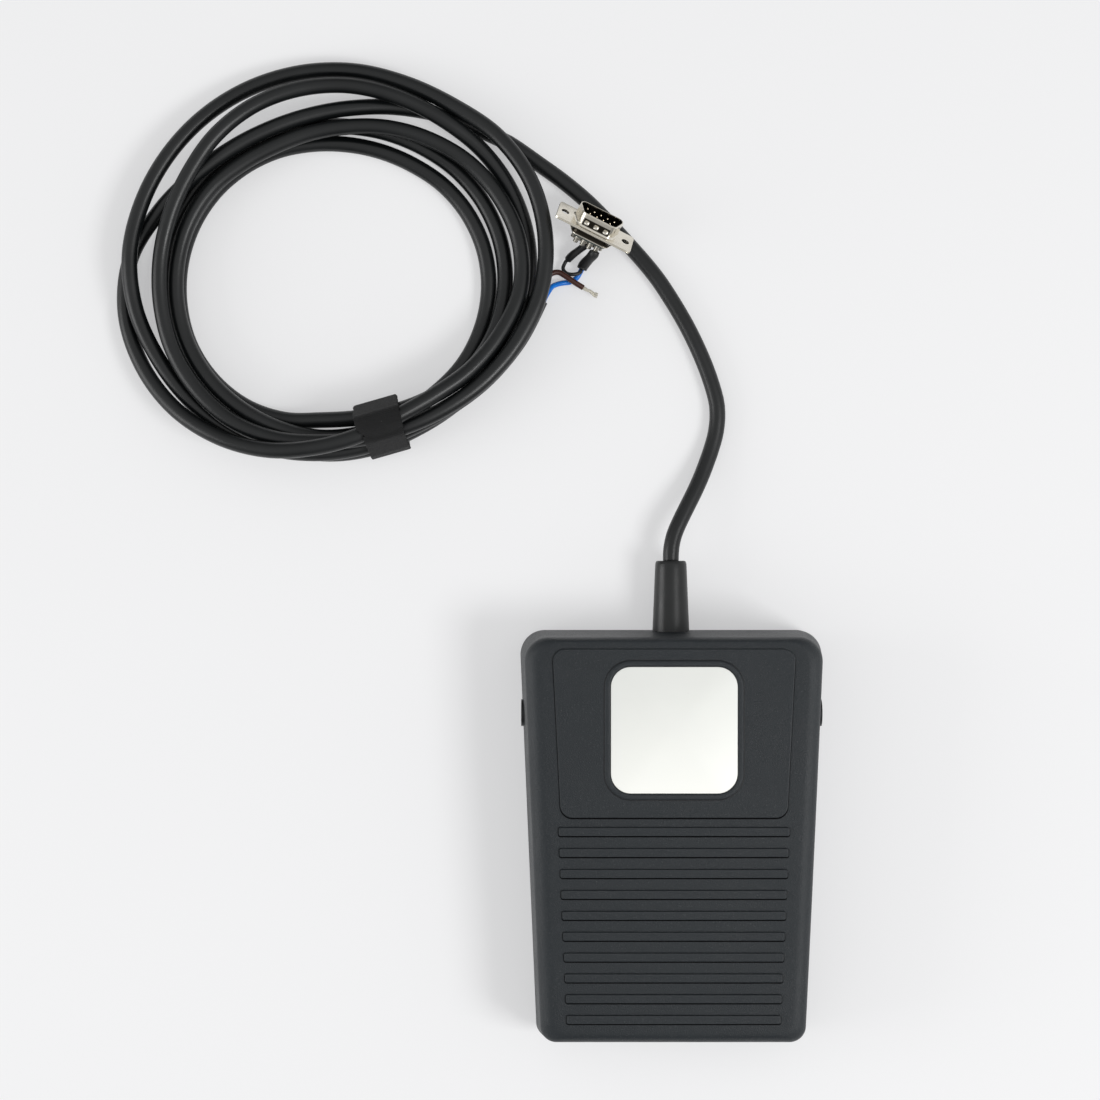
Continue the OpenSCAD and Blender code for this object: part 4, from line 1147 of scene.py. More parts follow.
@dataclass
class Treadle:
    """The ribbed cover that the foot presses, and its bare badge plate."""

    length: float = 152.0
    rear_width: float = 113.0
    front_width: float = 100.0
    rear_height: float = 38.0
    front_drop: float = 5.0
    rear_corner: float = 9.0
    front_corner: float = 6.0
    side_round: float = 5.5
    front_round: float = 4.0
    rear_round: float = 2.0
    round_height: float = 5.0
    wall_lean: float = 1.6
    wall: float = 2.6
    roof: float = 3.0
    lip_edge: float = 0.35
    skirt_rear: float = 5.0
    skirt_front: float = 11.0699
    spine_end: float = 40.0
    rib_count: int = 10
    rib_pitch: float = 7.65
    rib_width: float = 3.2
    rib_height: float = 0.8
    rib_corner: float = 0.7
    rib_first: float = 10.8
    rib_side_gap: float = 11.4
    rib_foot_shade: tuple[float, float] = (0.18, 0.45)
    pad_edge: float = 0.22
    panel_height: float = 0.6
    panel_length: float = 61.4
    panel_rear_gap: float = 5.9
    panel_side_gap: float = 12.2
    panel_corner: float = 4.5
    panel_foot_shade: tuple[float, float] = (0.12, 0.42)
    badge_size: float = 46.0
    badge_thick: float = 1.0
    badge_corner: float = 7.3
    badge_edge: float = 0.18
    badge_fit: float = 0.06
    badge_rim: float = 2.3
    badge_rim_height: float = 0.5
    badge_y: float = 40.6
    hinge_y: float = 45.5
    hinge_z: float = 14.0
    pin_hole: float = 2.55
    pin_head_hole: float = 5.1
    head_seat_x: float = 53.78
    hub_x: float = 50.99
    press_y: float = -12.0
    press_z: float = 32.29
    press_radius: float = 1.5
    press_half: float = 4.4
    notch_radius: float = 7.7
    notch_span: tuple[float, float] = (80.0, 62.8)

    @property
    def rear_y(self) -> float:
        """Where the cover ends at the rear."""
        return self.length / 2

    def side_at(self, y: float) -> float:
        """Half the cover's width at y, a straight taper."""
        taper = (self.front_width - self.rear_width) / 2
        return self.rear_width / 2 + taper * (self.rear_y - y) / self.length

    def crown_at(self, y: Array | float) -> Array | float:
        """Height of the roof at y: it falls with the square of the distance from the rear."""
        return self.rear_height - self.front_drop * ((self.rear_y - y) / self.length) ** 2

    def skirt_at(self, y: Array) -> Array:
        """Height of the cover's lower edge at y, a straight slant."""
        slant = self.skirt_front - self.skirt_rear
        return self.skirt_rear + slant * (self.rear_y + 1 - y) / (self.length + 2)

    def on_crown(self, form: Form, y: float) -> Form:
        """Turns a flat form with the roof at y and lifts it onto it.

        The roof slopes by atan (2 front_drop (rear_y - y) / length^2).

        Args:
            form: The form, flat at the origin.
            y: Where it goes.

        Returns:
            The placed form.
        """
        slope = math.degrees(math.atan(2 * self.front_drop * (self.rear_y - y) / self.length**2))
        return form.moved(lambda points: turned_points(points, slope, Turn.ABOUT_X)
                          + np.array([0, y, self.crown_at(y)]))

    def plan(self, side_in: float, front_in: float, rear_in: float, shrink: float) -> Array:
        """Plan outline of the cover, moved inwards: the tight line round its corner discs.

        Args:
            side_in: Distance from the sides.
            front_in: Distance from the front edge.
            rear_in: Distance from the rear edge.
            shrink: How much smaller the corner radii are.

        Returns:
            The outline, anticlockwise from the front right corner.
        """
        rear_r, front_r = self.rear_corner - shrink, self.front_corner - shrink
        rear = self.rear_y - rear_in - rear_r
        front = -self.rear_y + front_in + front_r
        rx = self.side_at(rear) - side_in - rear_r
        fx = self.side_at(front) - side_in - front_r
        centres = np.array([[fx, front], [rx, rear], [-rx, rear], [-fx, front]])
        radii = np.array([front_r, rear_r, rear_r, front_r])
        return outline(centres, radii, 18, [46, 34, 46, 30])

    def shell_rings(self, wall: float, roof: float) -> tuple[Array, Array]:
        """Rings of the cover's outside, or of its hollow when moved in by the wall and the roof.

        The rings climb the wall, lean in, and turn over a quarter ellipse into the crowned roof.

        Args:
            wall: Distance inwards from the outside.
            roof: Distance below the outside.

        Returns:
            Rings (rings, columns, 3) and a tone per ring, a painted highlight on the rounded edge.
        """
        foot = self.plan(wall, wall, wall, wall)
        levels = [(foot, self.skirt_at(foot[:, 1]) + self.lip_edge, 0.0),
                  (foot, self.skirt_front + 0.5, 0.0)]
        inset = wall + self.wall_lean
        for a in np.radians(np.linspace(0, 90, 11)):
            grow = 1 - math.cos(a)
            flat = self.plan(inset + self.side_round * grow, inset + self.front_round * grow,
                             inset + self.rear_round * grow, wall)
            height = self.crown_at(flat[:, 1]) - roof - self.round_height * (1 - math.sin(a))
            # painted highlight, strongest half way round the rounded edge
            levels.append((flat, height, 0.75 * math.sin(2 * a)))
        edge = levels[-1][0]
        spine_y = self.rear_y - self.spine_end
        spine = np.column_stack([np.zeros(len(edge)), np.clip(edge[:, 1], -spine_y, spine_y)])
        for share in (0.04, 0.1, 0.25, 0.5, 0.75, 1.0):
            flat = edge * (1 - share) + spine * share
            levels.append((flat, self.crown_at(flat[:, 1]) - roof, 0.0))
        flats, heights, tones = zip(*levels)
        return level_rings(flats, heights), np.array(tones)

    def shell(self) -> Form:
        """The hollow cover: outside rings, a rounded lower edge, and inside rings turned inwards.

        Its tone paints a highlight on the fillets at the left and right sides only, and a faint one
        on the lower lip.

        Returns:
            The cover.
        """
        edge = self.lip_edge
        outside, tone_out = self.shell_rings(0.0, 0.0)
        inside, tone_in = self.shell_rings(self.wall, self.roof)
        insets = ((self.wall - edge * 0.3, edge * 0.3), (self.wall - edge, 0.0), (edge, 0.0),
                  (edge * 0.3, edge * 0.3))
        flats = [self.plan(inset, inset, inset, inset) for inset, _ in insets]
        lip = level_rings(flats, [self.skirt_at(flat[:, 1]) + lift
                                  for flat, (_, lift) in zip(flats, insets)])
        rings = np.concatenate([inside[::-1], lip, outside])
        # faint painted highlight on the rounded lower lip
        tone = np.concatenate([tone_in[::-1], [0, 0.2, 0.3, 0.1], tone_out])
        # the painted highlight fades away from the far left and right sides
        reach = np.abs(rings[..., 0]) / np.abs(rings[..., 0]).max(axis=1, keepdims=True)
        return ring_skin(rings, Ends.OPEN, tone[:, None] * (0.12 + 0.88 * reach ** 9))

    def pad(self, shape: Outline, y: float, height: float) -> Form:
        """A low raised form with a steep side and an eased upper edge, with painted shade at its
        foot and side and a painted highlight on its eased edge.

        Its outline moves in by pad_edge over the last pad_edge of its height.

        Args:
            shape: Gives the outline moved inwards by a distance.
            y: Where the form stands on the roof.
            height: How far the form stands up.

        Returns:
            The form, its lower end sunk in the roof.
        """
        edge = self.pad_edge
        # tones: painted shade at the foot and up the side, painted highlight on the eased edge
        levels = [(0.0, -0.6, -1.0), (0.0, 0.1, -1.0), (0.05, height - edge, -0.4),
                  (0.05 + edge * 0.3, height - edge * 0.3, 0.4), (0.05 + edge, height, 0.45),
                  (0.4 + edge, height, 0.0)]
        return self.on_crown(level_skin(levels, shape), y)

    def painted_foot_shade(self, shape: Outline, y: float, wide: float, shift: float) -> Form:
        """The painted shade round the foot of a raised form: a near-flat cove in near-black
        plastic.

        It rises from the roof, wide outside the outline, to 0.05 at the outline itself.

        Args:
            shape: Gives the form's outline moved inwards by a distance.
            y: Where the form stands on the roof.
            wide: The cove's width.
            shift: How much wider it is towards the pressed end, so that the painted shade is
                heaviest on that side.

        Returns:
            The cove.
        """
        levels = ((-wide, -0.5), (-wide, -0.015), (-wide * 0.5, 0.02), (0.0, 0.05), (0.02, 0.1),
                  (0.03, -0.5))

        def shifted(inset: float) -> Array:
            """The outline moved inwards, and towards the pressed end outside the form."""
            return shape(inset) - np.array([0.0, shift * max(-inset, 0.0) / wide])

        cove = level_skin([(*level, -1.0) for level in levels], shifted, closed_skin)
        return self.on_crown(cove, y)

    def ribs(self) -> tuple[list[Form], list[Form]]:
        """The ribs, each as long as the roof is wide there, and the painted shade round their feet.

        Returns:
            The ribs and their painted foot shades, from the pressed end.
        """
        forms, foot_shades = [], []
        for k in range(self.rib_count):
            y = -self.rear_y + self.rib_first + k * self.rib_pitch
            half = self.side_at(y) - self.rib_side_gap

            def shape(inset: float, half: float = half) -> Array:
                """The rib's outline moved inwards."""
                return rounded_rect(2 * (half - inset), self.rib_width - 2 * inset,
                                    max(self.rib_corner - inset, 0.1), 6, 24)

            forms.append(self.pad(shape, y, self.rib_height))
            foot_shades.append(self.painted_foot_shade(shape, y, *self.rib_foot_shade))
        return forms, foot_shades

    def panel(self) -> tuple[Form, Form]:
        """The flat raised panel behind the ribs, with the painted shade round its foot.

        Returns:
            The panel and its painted foot shade.
        """
        rear = self.rear_y - self.panel_rear_gap
        front = rear - self.panel_length
        rx, fx = (self.side_at(y) - self.panel_side_gap for y in (rear, front))
        half, r = self.panel_length / 2, self.panel_corner
        centres = np.array([[fx - r, r - half], [rx - r, half - r],
                            [r - rx, half - r], [r - fx, r - half]])

        def shape(inset: float) -> Array:
            """The panel's outline moved inwards."""
            return outline(centres, np.full(4, max(r - inset, 0.1)), 12, 14)

        middle = (rear + front) / 2
        return (self.pad(shape, middle, self.panel_height),
                self.painted_foot_shade(shape, middle, *self.panel_foot_shade))

    def badge_frame(self) -> Form:
        """The raised rim round the badge, rounded on top, open in the middle, with painted shade at
        its feet and a painted highlight on its top.

        Rounded squares grow from fit to out as they follow its section, up and down again.

        Returns:
            The rim.
        """
        out = self.badge_size / 2 + self.badge_rim
        fit = self.badge_size / 2 + self.badge_fit
        base, top = self.panel_height, self.panel_height + self.badge_rim_height
        # tones: painted shade at the feet and inner wall, painted highlight on the rounded top
        levels = ((fit, 0.0, -1.0), (fit, 0.5, -1.0), (fit + 0.05, top - 0.35, -0.6),
                  (fit + 0.3, top - 0.06, 0.25), (fit + 0.75, top, 0.15),
                  (out - 0.75, top, 0.05), (out - 0.25, top - 0.08, 0.3), (out, top - 0.3, 0.0),
                  (out + 0.02, base + 0.06, -1.0), (out + 0.3, base + 0.015, -1.0),
                  (out + 0.45, base - 0.03, -0.8), (out + 0.45, 0.0, -1.0))

        def square(half: float) -> Array:
            """A rounded square of that half side, its corners round the badge's own."""
            return rounded_rect(2 * half, 2 * half,
                                self.badge_corner + half - self.badge_size / 2, 14, 8)

        return self.on_crown(level_skin(levels, square, closed_skin).turned_out(), self.badge_y)

    def badge(self) -> Form:
        """The badge plate: outlines shrink by edge (1 - sin a) and rise by edge (1 - cos a).

        Returns:
            The plate.
        """
        size, edge = self.badge_size, self.badge_edge
        low = self.panel_height - self.badge_thick + 0.6 * self.badge_rim_height
        high = low + self.badge_thick
        a = np.linspace(0, np.pi / 2, 5)
        insets = np.concatenate([edge * (1 - np.sin(a)), edge * (1 - np.sin(a[::-1]))])
        heights = np.concatenate([low + edge * (1 - np.cos(a)),
                                  high - edge * (1 - np.cos(a[::-1]))])
        flats = [rounded_rect(size - 2 * inset, size - 2 * inset, self.badge_corner - inset, 14, 6)
                 for inset in insets]
        return self.on_crown(ring_skin(level_rings(flats, heights)), self.badge_y)

    def at_hinge(self, form: Form, x: float = 0.0) -> list[Form]:
        """Returns a turned form laid on the hinge line at x, and its mirror image."""
        placed = form.laid_along(Axis.X).shifted(x, self.hinge_y, self.hinge_z)
        return [placed, placed.mirrored()]

    def inner_fittings(self) -> list[Form]:
        """Hinge bosses, the rib that presses the lever, and the cups that hold the springs.

        Returns:
            Two bosses, the rib, two cups.
        """
        hub = turned([[self.pin_hole, 0.0], [5.7, 0.0], [6.0, 0.3], [6.0, 3.4],
                      [self.pin_hole, 3.4]], 48, Ends.OPEN)
        r, roof = self.press_radius, float(self.crown_at(self.press_y)) - self.roof + 1
        press = np.array([[r * math.cos(a), self.press_z + r * math.sin(a)]
                          for a in np.linspace(-np.pi, 0, 13)] + [[r, roof], [-r, roof]])
        rings = [np.column_stack([np.full(len(press), x), press + np.array([self.press_y, 0])])
                 for x in (-self.press_half, self.press_half)]
        cup_top = float(self.crown_at(SPRING_PLACES[0][1])) - 1.5
        cup = turned([[2.3, 20.0], [2.8, 20.5], [2.8, 22.0], [5.2, 22.0], [5.5, 22.3],
                      [5.5, cup_top]], 40)
        return [*self.at_hinge(hub, self.hub_x), ring_skin(np.stack(rings)),
                *(cup.shifted(*place) for place in SPRING_PLACES)]

    def cutters(self) -> list[Form]:
        """Recesses for the pin heads, pin holes, and the notch over the strain relief.

        Returns:
            The forms to take away.
        """
        hole = turned([[self.pin_hole, 45.0], [self.pin_hole, 60.0]], 48)
        seat = turned([[self.pin_head_hole, self.head_seat_x], [self.pin_head_hole, 60.0]], 64)
        (hole, hole_left), (seat, seat_left) = self.at_hinge(hole), self.at_hinge(seat)
        r = self.notch_radius
        a = np.linspace(0, np.pi, 33)
        arch = np.concatenate([np.array([0, LEAD_HEIGHT]) + r * on_circle(a), [[-r, 0], [r, 0]]])
        rings = [np.column_stack([arch[:, 0], np.full(len(arch), y), arch[:, 1]])
                 for y in self.notch_span]
        return [hole, seat, hole_left, seat_left, ring_skin(np.stack(rings))]

    def build(self, plastic: Finish, satin: Finish, shade: Finish) -> None:
        """Builds the cover and the badge plate on the treadle.

        Args:
            plastic: The cover's plastic.
            satin: The badge's metal.
            shade: The near-black matt plastic of the painted shade round the feet of the ribs and
                the panel.
        """
        cover = make_mesh("treadle_cover_shell", self.shell(), SHELL_ANGLE)
        weld(cover)
        cut_out(cover, self.cutters(), SHELL_ANGLE)
        hand_over(cover, plastic, ("treadle_cover",), Body.TREADLE)
        (ribs, foot_shades), (panel, panel_foot_shade) = self.ribs(), self.panel()
        for name, form, finish, angle in (
            ("treadle_ribs", joined(ribs), plastic, PAD_ANGLE),
            ("treadle_panel", panel, plastic, PAD_ANGLE),
            ("treadle_painted_foot_shade", joined([*foot_shades, panel_foot_shade]), shade, PAD_ANGLE),
            ("badge_rim", self.badge_frame(), plastic, PAD_ANGLE),
            ("treadle_fittings", joined(self.inner_fittings()), plastic, SMOOTH_ANGLE),
        ):
            add_piece(name, form, finish, body=Body.TREADLE, smooth_angle=angle)
        add_piece("badge_blank", self.badge(), satin, ("badge_plate",), Body.TREADLE)


# ---------------------------------------------------------------- base


@dataclass
class Base:
    """What stands on the floor and stays still: tray, feet, pins, springs, clamp and sleeve."""

    spring_low: float = 4.3
    spring_high: float = 21.7
    spring_radius: float = 4.0
    spring_wire: float = 1.0
    spring_curls: int = 7
    sleeve: Array = field(default_factory=lambda: np.array([
        [3.06, 66.0], [6.6, 66.0], [6.8, 66.2], [6.8, 68.0], [6.6, 68.2], [5.7, 68.2], [5.7, 70.4],
        [6.75, 70.4], [6.9, 70.6], [6.9, 76.0], [6.72, 80.0], [6.5, 85.0], [6.3, 90.0],
        [6.1, 95.0], [5.95, 99.0], [5.85, 100.6], [5.7, 101.4], [5.35, 101.9], [4.9, 102.0],
        [3.06, 102.0]]))

    def strain_relief(self) -> Form:
        """The tapered sleeve, turned about the lead's line, with a bead at its free end."""
        form = turned(self.sleeve, 64, Ends.OPEN)
        return form.laid_along(Axis.Y).shifted(z=LEAD_HEIGHT)

    def springs(self) -> Form:
        """Two return springs: (r cos a, r sin a, height), a and height rising evenly.

        Returns:
            Both springs in one form.
        """
        t = np.linspace(0, 1, self.spring_curls * 28 + 1)
        angle = 2 * np.pi * self.spring_curls * t
        low = self.spring_low + self.spring_wire / 2
        high = self.spring_high - self.spring_wire / 2
        path = np.column_stack([self.spring_radius * on_circle(angle), low + (high - low) * t])
        one = round_tube(path, self.spring_wire / 2, 12, 0.12)
        return joined([one.shifted(*place) for place in SPRING_PLACES])

    def build(self, rubber: Finish, steel: Finish, plastic: Finish, blued: Finish) -> None:
        """Builds the sleeve and springs and dresses the base's CAD nodes.

        Args:
            rubber: The feet's and the sleeve's rubber.
            steel: The springs' and screws' steel.
            plastic: The tray's and clamp's plastic.
            blued: The hinge pins' dark finish.
        """
        add_piece("strain_relief_sleeve", self.strain_relief(), rubber,
                  ("strain_relief",), smooth_angle=40.0)
        springs = add_piece("return_spring_coils", self.springs(), steel,
                            ("return_springs",))
        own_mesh(springs)
        dress(plastic, "base_tray", "cord_clamp")
        dress(rubber, "foot_pads")
        dress(steel, "clamp_screws", "switch_screws")
        dress(blued, "hinge_pin_left", "hinge_pin_right")


@dataclass
class CoresInside:
    """The lead's tail in the clamp and its two cores on their way to the switch."""

    inner_y: float = 49.0
    tip_y: float = 101.98
    brown: Array = field(default_factory=lambda: np.array([
        [1.3, 49, 11], [1.3, 40.1, 11], [1.3, 22.5, 9.95], [1.3, 9.2, 7], [1.3, 5.12, 7]]))
    blue: Array = field(default_factory=lambda: np.array([
        [-1.3, 49, 11], [-1.3, 42.4, 11], [-2.0875, 33.6, 7], [3.15, 24.7, 5.95],
        [5.985, 13.6, 5.95], [6.3, 4.72, 5.95], [3.78, 0.3, 5.95], [1.3, -6.83, 5.95],
        [1.3, -9.33, 5.95]]))

    def build(self, jacket: Finish, brown: Finish, blue: Finish) -> None:
        """Builds the tail and the cores as swept tubes.

        Args:
            jacket: The lead's jacket.
            brown: The brown core's skin.
            blue: The blue core's skin.
        """
        tail = np.array([[0, y, LEAD_HEIGHT] for y in np.linspace(self.inner_y, self.tip_y, 24)])
        add_piece("lead_tail", round_tube(tail, 3.0, 20, 0.25), jacket, ("cord_tail",))
        for name, node, skin, slot, route in (
            ("core_brown_inside", "inner_core_brown", brown, "brown_core", self.brown),
            ("core_blue_inside", "inner_core_blue", blue, "blue_core", self.blue),
        ):
            form = round_tube(smooth_route(route, 0.8), CORE_DIAMETER / 2, 14, 0.2)
            add_piece(name, form, skin, (node,))


# ---------------------------------------------------------------- plug and loose cores


@dataclass
class Plug:
    """Nine-way plug that lies tilted by the coil; its own Z is the mating direction."""

    place: Triple = (-28.4, 226.0, 13.45)
    heading: float = -30.4
    climb: float = 33.0
    roll: float = 8.0
    flange: tuple[float, float] = (30.8, 12.55)
    flange_corner: float = 1.1
    flange_edge: float = 0.12
    hole_x: float = 12.5
    hole_radius: float = 1.525
    sheet: float = 0.5
    shell: tuple[float, float] = (17.6, 9.0)
    depth: float = 5.9
    rear_depth: float = 3.9
    corner: float = 2.4
    taper: float = 0.16
    pitch: float = 2.77
    rows: float = 2.84
    cup_end: float = -8.0
    arc: int = 12
    side: int = 16
    dent_places: tuple[float, ...] = (-3.9, 0.0, 3.9)
    dent_height: float = 2.45
    dent_depth: float = 0.32
    dent_half: float = 0.25
    dent_soft: tuple[float, float] = (1.0, 0.9)
    band_half: tuple[float, float] = (6.2, 1.45)
    band_soft: tuple[float, float] = (0.5, 0.3)

    def on_plug(self, points: Array) -> Array:
        """Puts points of the plug where it lies: rolled, climbed, headed, then moved.

        Args:
            points: Points in the plug's own frame.

        Returns:
            Points in the CAD frame.
        """
        points = turned_points(points, self.roll, Turn.ABOUT_Z)
        points = turned_points(points, self.climb - 90, Turn.ABOUT_X)
        return turned_points(points, self.heading, Turn.ABOUT_Z) + np.array(self.place)

    def spot(self, x: float, y: float, z: float) -> Array:
        """Returns where one point of the plug lies."""
        return self.on_plug(np.array([[x, y, z]], float))[0]

    def matrix(self) -> Matrix:
        """The plug's place as a matrix, its columns the plug's axes and its origin.

        Returns:
            The matrix, in metres.
        """
        origin = self.spot(0, 0, 0)
        columns = [self.spot(*axis) - origin for axis in np.eye(3)] + [origin * MM]
        return Matrix([[column[row] for column in columns] for row in range(3)] + [[0, 0, 0, 1]])

    def d_shape(self, grow: float, side: int | None = None) -> Array:
        """The D outline: two corners stay wide and two move in by the taper.

        Args:
            grow: How much larger the outline is on every side.
            side: Points on its long straight runs.

        Returns:
            The outline, anticlockwise.
        """
        side = side or self.side
        r = self.corner + grow
        x, y = self.shell[0] / 2 + grow - r, self.shell[1] / 2 + grow - r
        step = self.taper * self.shell[1]
        centres = np.array([[x - step, -y], [x, y], [-x, y], [step - x, -y]])
        return outline(centres, np.full(4, r), self.arc, [side // 2, side, side // 2, side])

    def contacts(self) -> list[tuple[float, float]]:
        """The nine contact places, five over four."""
        return ([(i * self.pitch, self.rows / 2) for i in (-2, -1, 0, 1, 2)]
                + [(i * self.pitch, -self.rows / 2) for i in (-1.5, -0.5, 0.5, 1.5)])

    def front_shell(self) -> Form:
        """The drawn front shell, with three square dents in each long side.

        A dent is a product of smooth steps across and along the shell; the wall round the dents
        gets a painted dark reflection that leaves the dents bright, and the inside gets painted
        shade.

        Returns:
            The shell round its opening.
        """
        s, d = self.sheet, self.depth
        # tones: painted shade inside the rim and at the flange
        levels = [(-s, 0.0, -0.84), (0.9, 0.35, 0.0), (0.45, 0.55, 0.0), (0.15, 0.85, 0.0)]
        levels += [(0.0, z, 0.0) for z in np.linspace(1.3, d - 0.45, 24)]
        levels += [(-0.08, d - 0.12, 0.0), (-s / 2, d, 0.0), (-s + 0.06, d - 0.12, -0.4),
                   (-s, d - 0.5, -0.84)]
        grows, heights, tones = zip(*levels)
        rings = level_rings([self.d_shape(grow, 64) for grow in grows], heights)
        x, y, z = np.moveaxis(rings, -1, 0)
        wall = np.array([grow == 0.0 for grow in grows])[:, None]
        long_side = wall * (np.abs(y) > self.shell[1] / 2 - 0.02)

        def step(value: Array, edge: float, soft: float) -> Array:
            """One inside the edge, nought outside it, smooth between."""
            return smooth_step((edge + soft - np.abs(value)) / soft)

        height = z - self.dent_height
        half, (soft_x, soft_z) = self.dent_half, self.dent_soft
        dent = (sum(step(x - place, half, soft_x) for place in self.dent_places)
                * step(height, half, soft_z) * long_side)
        band_x, band_z = (step(value, *sizes) for value, *sizes in
                          zip((x, height), self.band_half, self.band_soft))
        band = band_z * band_x * long_side
        # painted dark reflection on a band of each long side, left out in the dents
        tone = np.array(tones)[:, None] - 1.05 * band * (1 - np.clip(2.2 * dent, 0, 1))
        rings[..., 1] -= self.dent_depth * dent * np.sign(y)
        return closed_skin(rings, tone).turned_out()

    def rear_shell(self) -> Form:
        """The rear shell, drawn towards the solder cups and rolled in at its end.

        Each level is the D outline, larger by its first number; its tone paints shade inside and a
        dark reflection on the outer wall below the rolled lip.

        Returns:
            The shell round its opening.
        """
        s, end = self.sheet, -self.rear_depth
        # tones: painted shade inside, painted dark reflection on the outer wall
        levels = ((-s, -0.2, -1.0), (-s, end + 0.3, -1.0), (-s + 0.1, end + 0.05, -0.2),
                  (-0.1, end, 0.0), (0.25, end + 0.1, 0.0), (0.5, end + 0.35, 0.0),
                  (0.52, end + 0.55, 0.0), (0.3, end + 0.75, -0.9), (0.2, end + 1.0, -1.0),
                  (0.2, -1.5, -1.0), (0.35, -1.1, -0.7), (0.7, -0.8, 0.0), (0.9, -0.4, 0.0))
        return level_skin(levels, self.d_shape, closed_skin).turned_out()

    def flange_form(self, low: float) -> Form:
        """A flange sheet with eased edges and the D-shaped opening.

        Its outline is inset by flange_edge at both faces and full between them.

        Args:
            low: Its lower face.

        Returns:
            The sheet.
        """
        edge, high = self.flange_edge, low + self.sheet
        hole = self.d_shape(-self.sheet)
        start_angle = np.arctan2(hole[0, 1], hole[0, 0])
        flats = []
        for inset in (edge, 0.0, 0.0, edge):
            flat = rounded_rect(self.flange[0] - 2 * inset, self.flange[1] - 2 * inset,
                                self.flange_corner - inset, self.arc, self.side)
            start = np.argmin(np.abs(np.arctan2(flat[:, 1], flat[:, 0]) - start_angle))
            flats.append(even_round(np.roll(flat, -start, 0), len(hole)))
        heights = (low, low + edge, high - edge, high, high, low)
        return closed_skin(level_rings([*flats, hole, hole], heights)).turned_out()

    def both_holes(self, form: Form) -> list[Form]:
        """Returns a turned form at both flange holes."""
        return [form.shifted(x) for x in (-self.hole_x, self.hole_x)]

    def build(self, shell: Finish, insulator: Finish, gold: Finish, tinned: Finish) -> list[Piece]:
        """Builds the plug's shells, insulator and contacts.

        Args:
            shell: The plated steel.
            insulator: The dark moulded plastic.
            gold: The pins' plating.
            tinned: The solder cups' dull tin.

        Returns:
            The pieces of the plug.
        """
        s, r = self.sheet, self.hole_radius
        holes = self.both_holes(turned([[r, -2.0], [r, 2.0]], 40))
        pieces = []
        for name, low, drawn, node in (
            ("plug_shell_front", 0.0, self.front_shell(), "plug_front_shell"),
            ("plug_shell_rear", -s, self.rear_shell(), "plug_rear_shell"),
        ):
            plate = make_mesh(name + "_flange", self.flange_form(low))
            cut_out(plate, holes)
            plate.data.transform(self.matrix())
            pieces.append(hand_over(plate, shell, (node,)))
            # painted shade on the walls of the flange holes
            lining = turned([[1.56, low + 0.02], [1.5, low + 0.02], [1.5, low + s - 0.02],
                             [1.56, low + s - 0.02]], 40, Ends.OPEN, [-1.0] * 4).turned_out()
            form = joined([drawn, *self.both_holes(lining)]).moved(self.on_plug)
            pieces.append(add_piece(name, form, shell))
        block = level_skin(((-s - 0.05, -4.6, 0.0), (-s, -4.5, 0.0), (-s, 0.7, 0.0),
                            (-s - 0.05, 0.8, 0.0)), self.d_shape)
        pieces.append(add_piece("plug_insulator_block", block.moved(self.on_plug), insulator,
                                ("plug_insulator",)))
        # painted shade down the pins' shanks, so that only the tips are bright
        pin = turned([[0.36, 0.6], [0.36, 4.5], [0.34, 4.75], [0.26, 5.0], [0.13, 5.15]], 20,
                     tone=[-1.0, -1.0, -0.5, 0.0, 0.0])
        # the solder cups are made a little darker throughout
        cup = turned([[0.65, -6.3], [0.65, self.cup_end], [0.95, self.cup_end], [0.95, -4.5],
                      [0.0001, -4.5]], 24, tone=[-0.35] * 5).turned_out()
        for name, form, metal, node in (("plug_contact_pins", pin, gold, ("plug_contacts",)),
                                        ("plug_solder_cups", cup, tinned, ())):
            forms = joined([form.shifted(x, y) for x, y in self.contacts()])
            pieces.append(add_piece(name, forms.moved(self.on_plug), metal, node))
        return pieces


